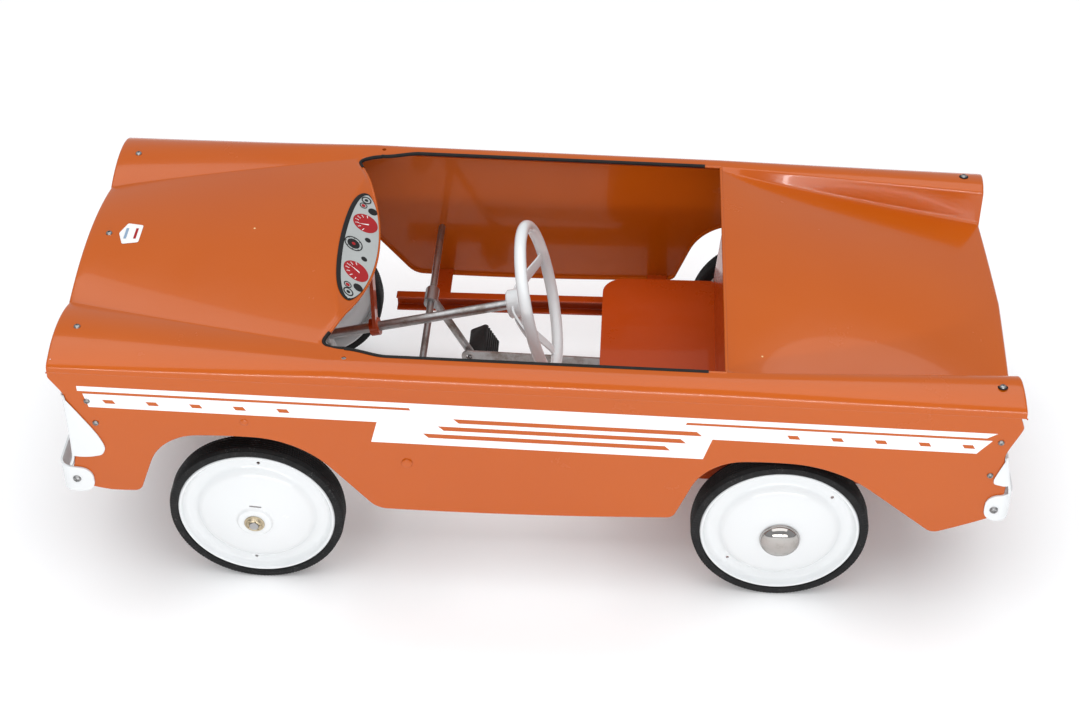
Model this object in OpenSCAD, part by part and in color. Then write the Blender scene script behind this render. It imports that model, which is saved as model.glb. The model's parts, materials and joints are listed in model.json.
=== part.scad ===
// Child's pedal car: a pressed steel body on four disc wheels, steered by a track rod
// and driven by hanging pedals through a cranked rear axle.
// X points forward, Y to the car's left and Z up. The origin is on the ground, midway
// along the car and on its centre plane. Sizes are in millimetres.

/* [Body] */
// Width over the side panels
body_w = 416; // [410:1:420]
// Thickness of the pressed steel sheet
sheet_t = 1.2; // [1:0.1:1.5]
// Height of the crease along the top of each side, at mid length
crease_z = 289.6; // [286:0.2:292]
// Rise of that crease towards the nose for each millimetre forward
crease_rise = 0.022; // [0.018:0.001:0.026]
// Height of the fender and fin tops above the crease
fender_h = 18; // [16:0.5:20]
// Height of the sill above the ground
sill_z = 120; // [118:1:122]
// Width of the cockpit opening
cockpit_w = 364; // [358:2:368]
// Rear end of the cockpit opening
cockpit_rear_x = -198; // [-204:1:-192]

/* [Wheels] */
// Outside diameter of the tyres
tyre_d = 190; // [186:1:192]
// Width of the tyres
tyre_w = 25; // [24:1:26]
// Distance between the front and rear axles
wheelbase = 564; // [560:1:568]
// Distance from the rear axle to the middle of the car
rear_axle_back = 265; // [262:1:268]
// Distance between the outer faces of two wheels on one axle
track_w = 398; // [396:1:400]
// Diameter of the axles
axle_d = 10; // [9:0.5:11]

/* [Steering] */
// Slope of the steering column
column_tilt = 14; // [13:0.5:15]
// Height of the steering wheel's centre
steer_wheel_z = 246; // [244:1:248]
// Diameter of the steering wheel, to the middle of its rim
steer_wheel_d = 164; // [156:2:170]
// Length of the steering arms and of the drop arm
steer_arm = 36; // [34:1:38]
// Distance from the centre plane to each kingpin
kingpin_y = 148; // [147:1:149]

/* [Pedals] */
// Throw of the rear axle's cranks
crank_throw = 42; // [38:1:44]
// Forward position of the pedal pivot rod
pivot_x = 130; // [126:1:134]
// Height of the pedal pivot rod
pivot_z = 188; // [186:1:190]
// Length of the pedal arms from the pivot to the pedal
pedal_drop = 118; // [114:1:120]
// Distance from the pivot to the pedal rod's eye
rod_drop = 90; // [88:1:92]

/* [Hidden] */
$fn = 48;

// Colours
orange = [0.8, 0.36, 0.16];
white = [0.93, 0.94, 0.95];
steel = [0.62, 0.63, 0.64];
chrome = [0.82, 0.83, 0.85];
black = [0.08, 0.08, 0.08];
grey = [0.66, 0.67, 0.66];
red = [0.7, 0.08, 0.06];

// Running clearance on the radius of a shaft in its hole
running = 0.05;
half_w = body_w / 2;
inner_w = half_w - sheet_t;
nose_x = 494;
tail_x = -500;
front_x = wheelbase - rear_axle_back;
rear_x = -rear_axle_back;
wheel_r = tyre_d / 2;
wheel_face_y = track_w / 2;

function crease(x) = crease_z + crease_rise * x;
function clamp01(v) = min(max(v, 0), 1);
function mix(a, b, k) = a + (b - a) * k;

// ---------- outline helpers ----------

// Arc points that round the corner b between a and c with radius r
function corner(a, b, c, r) =
    let (u = (a - b) / norm(a - b),
         v = (c - b) / norm(c - b),
         half = acos(u * v) / 2,
         start = b + u * r / tan(half),
         finish = b + v * r / tan(half),
         centre = b + (u + v) / norm(u + v) * r / sin(half),
         from = atan2(start[1] - centre[1], start[0] - centre[0]),
         turn = atan2(finish[1] - centre[1], finish[0] - centre[0]) - from,
         sweep = turn > 180 ? turn - 360 : turn < -180 ? turn + 360 : turn,
         steps = max(2, round(abs(sweep) / 9)))
    [for (i = [0:steps]) centre + r * [cos(from + sweep * i / steps), sin(from + sweep * i / steps)]];

// Closed outline whose corners [x, y, radius] are rounded where the radius isn't 0
function rounded(pts) =
    let (n = len(pts), at = [for (p = pts) [p[0], p[1]]])
    [for (i = [0:n - 1]) each pts[i][2] > 0
        ? corner(at[(i + n - 1) % n], at[i], at[(i + 1) % n], pts[i][2])
        : [at[i]]];

// Plate drawn in the XZ plane, from y to y + thick
module side_plate(y, thick) {
    translate([0, y + thick, 0])
        rotate([90, 0, 0])
            linear_extrude(thick)
                children();
}

// Rod along Y
module y_rod(x, z, y1, y2, d) {
    translate([x, y1, z])
        rotate([-90, 0, 0])
            cylinder(d = d, h = y2 - y1);
}

// Rod along Z
module z_rod(x, y, z1, z2, d) {
    translate([x, y, z1])
        cylinder(d = d, h = z2 - z1);
}

// ---------- top pressing ----------

// Columns across one half, as shares of the way: crease to valley, then valley to centre.
// The fender is highest at crown_at, and the cockpit's side edge lies at edge_at.
crown_at = 0.46;
edge_at = 0.65;
fender_cols = [0, 0.03, 0.09, 0.18, 0.3, crown_at, edge_at, 0.83, 1];
edge_col = 6;
bonnet_cols = [0.14, 0.3, 0.48, 0.66, 0.83, 1];
half_cols = len(fender_cols) + len(bonnet_cols);
last_col = 2 * half_cols - 2;

// Rows along the car: bonnet, dash, cockpit sides, deck
bonnet_rows = [0, 0.05, 0.14, 0.28, 0.44, 0.6, 0.76, 0.9];
last_bonnet_x = 232;
cockpit_rows = [0.16, 0.4, 0.7, 0.9];
deck_rows = [0, 0.08, 0.2, 0.36, 0.53, 0.7, 0.86, 1];
lip = 10;
ridge_row = 1 + len(bonnet_rows);
dash_row = ridge_row + 1;
rear_edge_row = dash_row + len(cockpit_rows) + 1;
last_row = rear_edge_row + len(deck_rows);

function roll(t) = pow(sin(min(t / crown_at, 1) * 90), 0.45);
cockpit_front_x = 206;
cockpit_corner_x = 196;
dash_slope = 0.6;
function dash_x(y) = 178.7 + 0.001475 * y * y;
function ridge_x(y) = max(218 - 0.0009 * y * y, dash_x(y) + 4);

// Share of the way from the nose to the cockpit
function bonnet_share(x) = clamp01((nose_x - x) / (nose_x - cockpit_front_x));
function valley_y(x) = mix(104, 170, pow(bonnet_share(x), 0.9));
function valley_h(x) = fender_h * mix(0.36, 1, pow(bonnet_share(x), 0.8));
function bonnet_crown_h(x) = mix(20, 29, bonnet_share(x));

function bonnet_point(x, t, w) =
    w == 0
    ? let (fall = pow(max(t - crown_at, 0) / (1 - crown_at), 2))
        [x, mix(half_w, valley_y(x), t),
         crease(x) + roll(t) * mix(fender_h, valley_h(x), fall)]
    : [x, valley_y(x) * (1 - w),
       crease(x) + mix(valley_h(x), bonnet_crown_h(x), 1 - pow(1 - w, 2))];

// Share of the way from the cockpit to the tail
function deck_share(x) = clamp01((cockpit_rear_x - x) / (cockpit_rear_x - tail_x));
function fin_inner_y(x) = mix(cockpit_w / 2, 160, deck_share(x));
function fin_foot_y(x) = mix(cockpit_w / 2 - 5, 150, deck_share(x));
// The fin's top leans inward towards the tail
function fin_lean(x, t) = 4 * pow(max(t - crown_at, 0) / (edge_at - crown_at), 2) * deck_share(x);
function fin_top_h(x, t) = roll(t) * (fender_h - fin_lean(x, t));
function fin_foot_z(x) = crease(x) + fender_h - 1 - 42 * pow(deck_share(x), 0.75);
function deck_crown_z(x) = mix(306, 258, pow(deck_share(x), 1.9));

function deck_point(x, t, w) =
    let (inner = [x, fin_inner_y(x), crease(x) + fin_top_h(x, edge_at)],
         foot = [x, fin_foot_y(x), fin_foot_z(x)])
    w > 0 ? [x, foot[1] * (1 - w), mix(foot[2], deck_crown_z(x), 1 - pow(1 - w, 2))]
    : t <= edge_at ? [x, mix(half_w, inner[1], t / edge_at), crease(x) + fin_top_h(x, t)]
    : mix(inner, foot, (t - edge_at) / (1 - edge_at));

function cockpit_point(x, t) =
    [x, mix(half_w, cockpit_w / 2, t / edge_at), crease(x) + roll(t) * fender_h];

function dash_point(t, w) =
    let (top = bonnet_point(cockpit_front_x, t, w),
         beside = w == 0 && t <= edge_at,
         x = beside ? mix(cockpit_front_x, cockpit_corner_x, t / edge_at) : dash_x(top[1]))
    beside ? [x, top[1], top[2]]
    : [x, top[1], top[2] - dash_slope * (ridge_x(top[1]) - x)];

function ridge_point(t, w) =
    let (y = bonnet_point(cockpit_front_x, t, w)[1],
         x = w == 0 && t <= edge_at ? cockpit_front_x + 4 : ridge_x(y))
    bonnet_point(x, t, w);

// The turned-down lip fades out at the crease, where it tucks inside the side panel
function lip_drop(t, w) =
    t + w == 0 ? [0, 1.5 * sheet_t, 0] : [0, 0, mix(1, lip, min(1, t * 8 + w))];
// Rear edge of the deck: the tail is slightly shorter beside the fins
function deck_x(k, t, w) = mix(cockpit_rear_x, tail_x + 5 * t * (1 - w), k);

function half_point(i, t, w) =
    i == 0 ? bonnet_point(nose_x, t, w) - lip_drop(t, w)
    : i < ridge_row ? bonnet_point(mix(nose_x, last_bonnet_x, bonnet_rows[i - 1]), t, w)
    : i == ridge_row ? ridge_point(t, w)
    : i == dash_row ? dash_point(t, w)
    : i < rear_edge_row
        ? cockpit_point(mix(cockpit_front_x, cockpit_rear_x, cockpit_rows[i - dash_row - 1]), min(t, edge_at))
    : i < last_row ? deck_point(deck_x(deck_rows[i - rear_edge_row], t, w), t, w)
    : deck_point(deck_x(1, t, w), t, w) - lip_drop(t, w);

function top_point(i, j) =
    let (k = min(j, last_col - j),
         p = k < len(fender_cols) ? half_point(i, fender_cols[k], 0)
             : half_point(i, 1, bonnet_cols[k - len(fender_cols)]))
    j <= last_col / 2 ? p : [p[0], -p[1], p[2]];

// Closed sheet: a grid of points thickened downward, with an optional window
// [first row, last row, first column, last column] left open
module grid_sheet(outer, thick, window) {
    rows = len(outer);
    cols = len(outer[0]);
    function open(i, j) = i >= window[0] && i < window[1] && j >= window[2] && j < window[3];
    function cell(i, j) = i >= 0 && i < rows - 1 && j >= 0 && j < cols - 1 && !open(i, j);
    function used(i, j) = cell(i, j) || cell(i - 1, j) || cell(i, j - 1) || cell(i - 1, j - 1);
    function step_to(i, j, di, dj) =
        let (a = i + di, b = j + dj)
        a >= 0 && a < rows && b >= 0 && b < cols && used(a, b) ? outer[a][b] : outer[i][j];
    function inward(i, j) =
        let (c = cross(step_to(i, j, 1, 0) - step_to(i, j, -1, 0),
                       step_to(i, j, 0, 1) - step_to(i, j, 0, -1)))
        -c / norm(c);
    inner = [for (i = [0:rows - 1]) [for (j = [0:cols - 1])
        used(i, j) ? outer[i][j] + thick * inward(i, j) : outer[i][j] - [0, 0, thick]]];
    points = concat([for (row = outer) each row], [for (row = inner) each row]);
    half = rows * cols;
    function at(i, j) = i * cols + j;
    function quad(a, b, c, d) = [[a, b, c], [a, c, d]];
    faces = [for (i = [0:rows - 2]) for (j = [0:cols - 2]) if (cell(i, j)) each concat(
        quad(at(i, j), at(i, j + 1), at(i + 1, j + 1), at(i + 1, j)),
        quad(half + at(i, j), half + at(i + 1, j), half + at(i + 1, j + 1), half + at(i, j + 1)),
        cell(i - 1, j) ? [] : quad(at(i, j), half + at(i, j), half + at(i, j + 1), at(i, j + 1)),
        cell(i + 1, j) ? [] : quad(at(i + 1, j + 1), half + at(i + 1, j + 1), half + at(i + 1, j), at(i + 1, j)),
        cell(i, j - 1) ? [] : quad(at(i + 1, j), half + at(i + 1, j), half + at(i, j), at(i, j)),
        cell(i, j + 1) ? [] : quad(at(i, j + 1), half + at(i, j + 1), half + at(i + 1, j + 1), at(i + 1, j + 1)))];
    polyhedron(points, faces, convexity = 10);
}

windscreen_hole_x = 191;
windscreen_hole_y = 187;
windscreen_hole_d = 5;

// Screws of the top: two on the fenders and one on the bonnet, then one on each fin
nose_screw_x = 471;
nose_screw_y = 157;
tail_screw_x = -476;
tail_screw_y = 184;
screw_hole_d = 4;
function bonnet_z(x, y) =
    y > valley_y(x) ? bonnet_point(x, (half_w - y) / (half_w - valley_y(x)), 0)[2]
    : bonnet_point(x, 1, max(1 - y / valley_y(x), 0.001))[2];
function fin_z(x, y) =
    deck_point(x, edge_at * (half_w - y) / (half_w - fin_inner_y(x)), 0)[2];

module body_top() {
    color(orange)
        difference() {
            grid_sheet([for (i = [0:last_row]) [for (j = [0:last_col]) top_point(i, j)]],
                sheet_t, [dash_row, rear_edge_row, edge_col, last_col - edge_col]);
            for (side = [-1, 1])
                z_rod(windscreen_hole_x, side * windscreen_hole_y, crease_z + 5, crease_z + 40, windscreen_hole_d);
            for (y = [-nose_screw_y, 0, nose_screw_y])
                z_rod(nose_screw_x, y, crease_z, crease_z + 50, screw_hole_d);
            for (side = [-1, 1])
                z_rod(tail_screw_x, side * tail_screw_y, crease_z - 5, crease_z + 30, screw_hole_d);
        }
}

// Thin printed label on the sloping dash
label_t = 0.3;
module dash_label() {
    reach = 104;
    steps = 16;
    function on_dash(y, k) =
        let (w = 1 - abs(y) / valley_y(cockpit_front_x),
             high = ridge_point(1, max(w, 0.001)),
             low = dash_point(1, max(w, 0.001)),
             p = mix(low, high, k))
        [p[0] - 0.3, y, p[2] + 0.5];
    color(grey)
        grid_sheet([for (k = [0.94, 0.5, 0.06]) [for (n = [0:steps]) on_dash(mix(reach, -reach, n / steps), k)]],
            label_t, [0, 0, 0, 0]);
}

// ---------- side panels ----------

arch_top = 217;
// Joint between the top pressing and the side panels
seam = 0.4;
module side_outline() {
    polygon(rounded([
        [nose_x, crease(nose_x) - seam, 0],
        [nose_x + 1, 291, 6],
        [481, 268, 20],
        [482, 184, 30],
        [490, 150, 6],
        [474, 140, 12],
        [450, 134.5, 20],
        [418, 134.5, 10],
        [387, arch_top, 60],
        [244, arch_top, 110],
        [165, sill_z - 0.5, 25],
        [-150, sill_z, 10],
        [-183, 204, 60],
        [-312, 204, 150],
        [-424, 110, 14],
        [-491, 140, 8],
        [-492.5, 184, 10],
        [-485.5, 224, 20],
        [-500, 262, 8],
        [-494, crease(-494) - seam, 0]]));
}

// Inward hem along the sill, between the wheel arches
hem_w = 12;
hem_l = 290;
// Fasteners through the side panels, as [x, z]
side_screw_at = [[458, 261], [453, 231], [-479, 243], [-474, 197]];
bumper_bolt_at = [[484, 152], [-484, 150]];
bolt_hole_d = 5;
member_rivet_at = [front_x - 2, 238];
rivet_hole_d = 5.4;

// Holes for the fasteners, through both sides of the car
module side_holes(places, d) {
    for (p = places)
        y_rod(p[0], p[1], -half_w - 10, half_w + 10, d);
}

module side_panel(side) {
    color(orange)
        difference() {
            union() {
                side_plate(side > 0 ? inner_w : -half_w, sheet_t)
                    side_outline();
                translate([-138, side > 0 ? inner_w - hem_w : -inner_w, sill_z])
                    cube([hem_l, hem_w, sheet_t]);
            }
            y_rod(pivot_x, pivot_z, -half_w - 1, half_w + 1, rivet_d);
            side_holes(side_screw_at, screw_hole_d);
            side_holes(bumper_bolt_at, bolt_hole_d);
            side_holes([member_rivet_at], rivet_hole_d);
        }
}
module side_panel_left() side_panel(1);
module side_panel_right() side_panel(-1);

// ---------- side flash ----------

function flash_z(x) = 248.6 + 0.028 * x;
// Band between two heights above the flash line, with slanted ends
module flash_band(front, rear, low, high, front_slant, rear_slant) {
    polygon([
        [front - front_slant, flash_z(front) + low],
        [front, flash_z(front) + high],
        [rear, flash_z(rear) + high],
        [rear + rear_slant, flash_z(rear) + low]]);
}

module flash_2d() {
    difference() {
        union() {
            flash_band(466, -474, 13.2, 19.5, 0, 10);
            flash_band(461, 150, -8.4, 9.6, 4, 0);
            flash_band(-150, -470, -8.4, 9.6, 0, 14);
            flash_band(154, -192, -36, 9.7, -12, 14);
            // the stripe's lower edge joins the panel
            flash_band(125, -160, 9, 14, 2, 2);
        }
        for (n = [0:4]) {
            flash_band(442 - 45 * n, 431 - 45 * n, -2.6, 2.6, 3, -3);
            flash_band(-262 - 44.5 * n, -273 - 44.5 * n, -2.6, 2.6, 3, -3);
        }
        // plain speed bars fill the panel
        for (n = [0:2])
            flash_band(112 - 16 * n, -138 - 16 * n, -27 + 11 * n, -21 + 11 * n, 6, -6);
    }
}

module side_flash_left() {
    color(white)
        difference() {
            side_plate(half_w, label_t)
                flash_2d();
            side_holes(side_screw_at, screw_hole_d);
        }
}
module side_flash_right() {
    color(white)
        difference() {
            side_plate(-half_w - label_t, label_t)
                flash_2d();
            side_holes(side_screw_at, screw_hole_d);
        }
}

// Five-sided label on the bonnet, lying on the slope of its crown
nose_label_x = 448;
function crown_z(x) = crease(x) + bonnet_crown_h(x);
module nose_label() {
    reach = 12;
    slope = atan2(crown_z(nose_label_x - reach) - crown_z(nose_label_x + reach), 2 * reach);
    color(white)
        translate([nose_label_x, 0, crown_z(nose_label_x) + 0.05])
            rotate([0, slope, 0])
                linear_extrude(label_t)
                    polygon([[reach, 0], [6, 11], [-reach, 9], [-reach, -9], [6, -11]]);
}

// ---------- grille, tail and bumpers ----------

panel_t = 1.5;

// Sheet bent to a line of [x, z] points and running across the car
module cross_sheet(line, thick, width) {
    back = [for (i = [len(line) - 1:-1:0]) line[i] - [thick, 0]];
    side_plate(-width / 2, width)
        polygon(concat(line, back));
}

ear_top_z = 268;
// The front sheet is flat and leans forward between these two points, where the lamps sit
lamp_flat_high = [484, 262];
lamp_flat_low = [489, 200];
grille_top = [[490.5, 303], [484.5, ear_top_z]];
grille_line = [[484.5, ear_top_z], lamp_flat_high, lamp_flat_low, [495, 180], [499, 171]];
rib_count = 5;
rib_d = 5;
rib_half_l = 95;

// Lean of a flat stretch from the upright, and its place at a height
function lean(high, low) = atan2(low[0] - high[0], high[1] - low[1]);
function flat_x(high, low, z) = mix(high[0], low[0], (high[1] - z) / (high[1] - low[1]));
function grille_x(z) = flat_x(lamp_flat_high, lamp_flat_low, z);

module grille_panel() {
    color(white) {
        cross_sheet(grille_top, panel_t, 2 * inner_w - 6);
        cross_sheet(grille_line, panel_t, body_w + 2 * panel_t);
        for (side = [-1, 1])
            side_plate(side > 0 ? half_w : -half_w - panel_t, panel_t)
                polygon(rounded([
                    [483.5, ear_top_z, 0],
                    [452, 213, 30],
                    [448, 184, 14],
                    [493, 184, 0],
                    [488.3, 200, 0],
                    [483.3, 262, 0]]));
        for (n = [0:rib_count - 1])
            y_rod(grille_x(252 - 13 * n), 252 - 13 * n, -rib_half_l, rib_half_l, rib_d);
    }
}

lamp_y = 150;
lamp_z = 232;
// Child drawn along +Z is seated on the front sheet at each headlamp's place
module at_headlamps() {
    for (side = [-1, 1])
        translate([grille_x(lamp_z), side * lamp_y, lamp_z])
            rotate([0, 90 - lean(lamp_flat_high, lamp_flat_low), 0])
                children();
}
module headlamps() {
    color(white)
        at_headlamps()
            rotate_extrude()
                polygon([[24, 0.1], [31, 0.1], [30, 6], [27, 8], [24, 7]]);
}
module headlamp_lenses() {
    color(chrome)
        at_headlamps()
            rotate_extrude()
                polygon([[0, 0.1], [23.9, 0.1], [23.9, 4], [17, 7.5], [9, 9.5], [0, 10]]);
}

// Strip that crosses one end of the car and wraps on to both sides
bumper_t = 2;
module bumper(end_x, back_x, z_low, z_high) {
    dir = sign(end_x);
    reach = abs(end_x - back_x);
    wide = body_w + 2 * (bumper_t + label_t);
    translate([end_x, 0, 0])
        scale([dir, 1, 1])
            intersection() {
                difference() {
                    linear_extrude(400)
                        polygon(rounded([[0, -wide / 2, 14], [0, wide / 2, 14],
                            [-reach - 1, wide / 2, 0], [-reach - 1, -wide / 2, 0]]));
                    translate([0, 0, -1])
                        linear_extrude(402)
                            polygon(rounded([[-bumper_t, -wide / 2 + bumper_t, 12],
                                [-bumper_t, wide / 2 - bumper_t, 12],
                                [-reach - 2, wide / 2 - bumper_t, 0],
                                [-reach - 2, -wide / 2 + bumper_t, 0]]));
                }
                difference() {
                    side_plate(-half_w - 10, body_w + 20)
                        polygon(rounded([[1, z_low, 0], [1, z_high, 0],
                            [-reach, z_high - 4, 14], [-reach, z_low, 14]]));
                    for (p = bumper_bolt_at)
                        y_rod(dir * (p[0] - end_x), p[1], -half_w - 11, half_w + 11, bolt_hole_d);
                }
            }
}

module front_bumper() {
    color(white)
        bumper(502, 466, 134, 170);
}
module rear_bumper() {
    color(white)
        bumper(-502, -474, 134, 172);
}

// The rear sheet is drawn as if it faced forward and then mirrored; its flat holds the lamps
tail_flat_high = [487.3, 236];
tail_flat_low = [495, 193];
tail_ear_z = 222;
tail_ear_x = flat_x(tail_flat_high, tail_flat_low, tail_ear_z);
tail_top = [[486, 248], tail_flat_high, [tail_ear_x, tail_ear_z]];
tail_line = [[tail_ear_x, tail_ear_z], tail_flat_low, [499, 180], [500, 172]];
// Upright pieces that close the hollow fins
fin_plate_y = 162;
fin_plate_w = 42;
module tail_panel() {
    color(white) {
        mirror([1, 0, 0]) {
            cross_sheet(tail_top, panel_t, 2 * inner_w - 6);
            cross_sheet(tail_line, panel_t, body_w + 2 * panel_t);
            for (side = [-1, 1])
                translate([486 - panel_t, side > 0 ? fin_plate_y : -fin_plate_y - fin_plate_w, 240])
                    cube([panel_t, fin_plate_w, 44]);
        }
        for (side = [-1, 1])
            side_plate(side > 0 ? half_w : -half_w - panel_t, panel_t)
                polygon(rounded([[-489.3, tail_ear_z, 0], [-494.4, 193, 0], [-498, 182, 0], [-478, 188, 5]]));
    }
}
tail_lamp_z = 214.5;
module tail_lamps() {
    color(red)
        for (side = [-1, 1])
            translate([-flat_x(tail_flat_high, tail_flat_low, tail_lamp_z), side * lamp_y, tail_lamp_z])
                rotate([0, lean(tail_flat_high, tail_flat_low) - 90, 0])
                    rotate_extrude()
                        polygon([[0, 0.1], [20, 0.1], [20, 5], [14, 9], [0, 10.5]]);
}

// ---------- fasteners of the body ----------

// Pan-head screw, standing on the surface with its shank below
module screw(head_d, head_h, shank_d, shank_l) {
    rotate_extrude()
        polygon([[0, head_h], [head_d * 0.3, head_h * 0.95], [head_d * 0.46, head_h * 0.5],
            [head_d / 2, 0], [shank_d / 2, 0], [shank_d / 2, -shank_l], [0, -shank_l]]);
}

top_head_d = 7;
screw_shank_d = 3.5;
// Points of the head's rim, counted from its centre
head_rim = [for (a = [0:45:315]) top_head_d / 2 * [cos(a), sin(a)]];
seat_gap = 0.15;
module top_screws() {
    color(steel)
        for (side = [-1, 1]) {
            for (y = side > 0 ? [0, nose_screw_y] : [nose_screw_y])
                translate([nose_screw_x, side * y,
                    seat_gap + max([for (r = head_rim) bonnet_z(nose_screw_x + r[0], abs(y + r[1]))])])
                    screw(top_head_d, 2.4, screw_shank_d, 10);
            translate([tail_screw_x, side * tail_screw_y,
                seat_gap + max([for (r = head_rim) fin_z(tail_screw_x + r[0], tail_screw_y + r[1])])])
                screw(top_head_d, 2.4, screw_shank_d, 10);
        }
}

module side_screws() {
    color(steel)
        for (side = [-1, 1], p = side_screw_at)
            translate([p[0], side * (half_w + label_t), p[1]])
                rotate([-90 * side, 0, 0])
                    screw(6.5, 2.2, screw_shank_d, 9);
}

module bumper_bolts() {
    color(steel)
        for (side = [-1, 1], p = bumper_bolt_at)
            translate([p[0], side * (half_w + bumper_t + label_t), p[1]])
                rotate([-90 * side, 0, 0])
                    screw(9, 3, 4.5, 12);
}

// Painted rivets that hold the front cross member
module side_rivets() {
    color(orange)
        for (side = [-1, 1])
            translate([member_rivet_at[0], side * half_w, member_rivet_at[1]])
                rotate([-90 * side, 0, 0])
                    screw(9, 1.6, 5, 4.5);
}

// ---------- chassis ----------

rail_y = 132;
rail_w = 12;
rail_z = 118;
rail_h = 20;
frame_t = 2;

member_z = 226;
member_h = 22;
member_w = 28;
// Channel under the fenders, open downward, with a riveted flange at each end
module front_cross_member() {
    color(orange) {
        translate([front_x - member_w / 2, -inner_w + frame_t, member_z])
            difference() {
                cube([member_w, 2 * (inner_w - frame_t), member_h]);
                translate([frame_t, -1, -1])
                    cube([member_w - 2 * frame_t, 2 * inner_w, member_h + 1 - frame_t]);
            }
        for (side = [-1, 1])
            difference() {
                translate([front_x - member_w / 2, side > 0 ? inner_w - frame_t : -inner_w, member_z - 2])
                    cube([member_w, frame_t, member_h + 4]);
                side_holes([member_rivet_at], rivet_hole_d);
            }
    }
}

beam_low = 101.5;
beam_high = 121.5;
hanger_y = 96;
module beam_hangers() {
    color(orange)
        for (side = [-1, 1])
            translate([front_x - 10, side > 0 ? hanger_y : -hanger_y - 4, beam_high])
                cube([20, 4, member_z + member_h - frame_t - beam_high]);
}

kingpin_bore_r = axle_d / 2 + running;
module front_axle_beam() {
    end_r = 9;
    color(steel)
        difference() {
            union() {
                translate([front_x - 12, -kingpin_y, beam_low])
                    cube([24, 2 * kingpin_y, beam_high - beam_low]);
                for (side = [-1, 1])
                    z_rod(front_x, side * kingpin_y, beam_low, beam_high, 2 * end_r);
            }
            translate([front_x - 12 + 3, -kingpin_y + end_r + 3, beam_low - 1])
                cube([18, 2 * (kingpin_y - end_r - 3), beam_high - beam_low + 1 - 3]);
            for (side = [-1, 1])
                z_rod(front_x, side * kingpin_y, beam_low - 5, beam_high + 5, 2 * kingpin_bore_r);
        }
}

// Steering column geometry: the column runs forward and down from the wheel's centre
wheel_x = 2;
column_dir = [cos(column_tilt), 0, -sin(column_tilt)];
function on_column(along) = [wheel_x, 0, steer_wheel_z] + along * column_dir;
arm_x = front_x - steer_arm;
arm_along = (arm_x - wheel_x - steer_arm * sin(column_tilt)) / cos(column_tilt);
column_d = 11;
column_end = (front_x + 8 - wheel_x) / cos(column_tilt);
drop_pin = on_column(arm_along) - steer_arm * [sin(column_tilt), 0, cos(column_tilt)];

// Child drawn along +Z is laid along the column from a distance behind the wheel's centre
module along_column(along) {
    translate(on_column(along))
        rotate([0, 90 + column_tilt, 0])
            children();
}

module column_foot_bracket() {
    bush_at = (front_x - wheel_x) / cos(column_tilt);
    color(orange)
        difference() {
            union() {
                along_column(bush_at - 5)
                    cylinder(d = 20, h = 10);
                translate([front_x - 3, -8, on_column(bush_at)[2]])
                    cube([5, 16, member_z + member_h - frame_t - on_column(bush_at)[2]]);
            }
            along_column(bush_at - 30)
                cylinder(r = column_d / 2 + running, h = 60);
        }
}

dash_bracket_along = 190;
// Height just under the dash on the centre plane
function dash_under(x) = crown_z(ridge_x(0)) - dash_slope * (ridge_x(0) - x) - 1.9;
module column_dash_bracket() {
    centre = on_column(dash_bracket_along);
    foot = [for (x = [centre[0] - 2, centre[0] + 16]) [x, dash_under(x)]];
    color(orange)
        difference() {
            union() {
                along_column(dash_bracket_along - 5)
                    cylinder(d = 20, h = 10);
                translate([centre[0] - 2, -9, centre[2]])
                    cube([4, 18, dash_under(centre[0]) - 2 - centre[2]]);
                side_plate(-28, 56)
                    polygon([foot[0], foot[1], foot[1] - [0, 3], foot[0] - [0, 3]]);
            }
            along_column(dash_bracket_along - 30)
                cylinder(r = column_d / 2 + running, h = 60);
        }
}

// One channel rail: open towards the middle of the car
module rail(side) {
    rail_l = 620;
    translate([-440, side * rail_y, rail_z])
        scale([1, side, 1])
            difference() {
                cube([rail_l, rail_w, rail_h]);
                translate([-1, -1, frame_t])
                    cube([rail_l + 2, rail_w + 1 - frame_t, rail_h - 2 * frame_t]);
            }
}
module chassis_rails() {
    color(orange)
        for (side = [-1, 1])
            rail(side);
}

module outriggers() {
    outer = inner_w - 0.2;
    color(orange)
        for (side = [-1, 1], x = [130, -130])
            translate([x - 12, side > 0 ? rail_y + rail_w : -outer, sill_z + sheet_t + 0.1])
                cube([24, outer - rail_y - rail_w, 3]);
}

module rear_cross_member() {
    color(orange)
        translate([-440, -rail_y, rail_z + frame_t + 0.1])
            cube([20, 2 * rail_y, 12]);
}

seat_z = 166;
seat_rear = -196;
seat_l = 130;
module seat_pan() {
    wide = 2 * (rail_y + rail_w);
    deep = seat_z - rail_z - rail_h;
    color(orange)
        translate([seat_rear, -wide / 2, rail_z + rail_h])
            difference() {
                linear_extrude(deep)
                    polygon(rounded([[0, 0, 4], [seat_l, 0, 26], [seat_l, wide, 26], [0, wide, 4]]));
                translate([-1, sheet_t, -1])
                    cube([seat_l + 2, wide - 2 * sheet_t, 16]);
                translate([sheet_t, sheet_t, -1])
                    linear_extrude(deep + 1 - sheet_t)
                        polygon(rounded([[0, 0, 3], [seat_l - 2 * sheet_t, 0, 25],
                            [seat_l - 2 * sheet_t, wide - 2 * sheet_t, 25], [0, wide - 2 * sheet_t, 3]]));
            }
}

seat_back_low = seat_z - 12;
module seat_back() {
    wide = 2 * (rail_y + rail_w);
    color(orange)
        translate([seat_rear, 0, 0])
            side_plate(-wide / 2, wide)
                polygon([[-1.5, seat_back_low], [0, seat_back_low], [0, seat_z + 10], [-6, 240],
                    [-8, 297.6], [-22, 297.6], [-22, 296.1], [-9.5, 296.1], [-7.5, 240], [-1.5, seat_z + 10]]);
}

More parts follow.
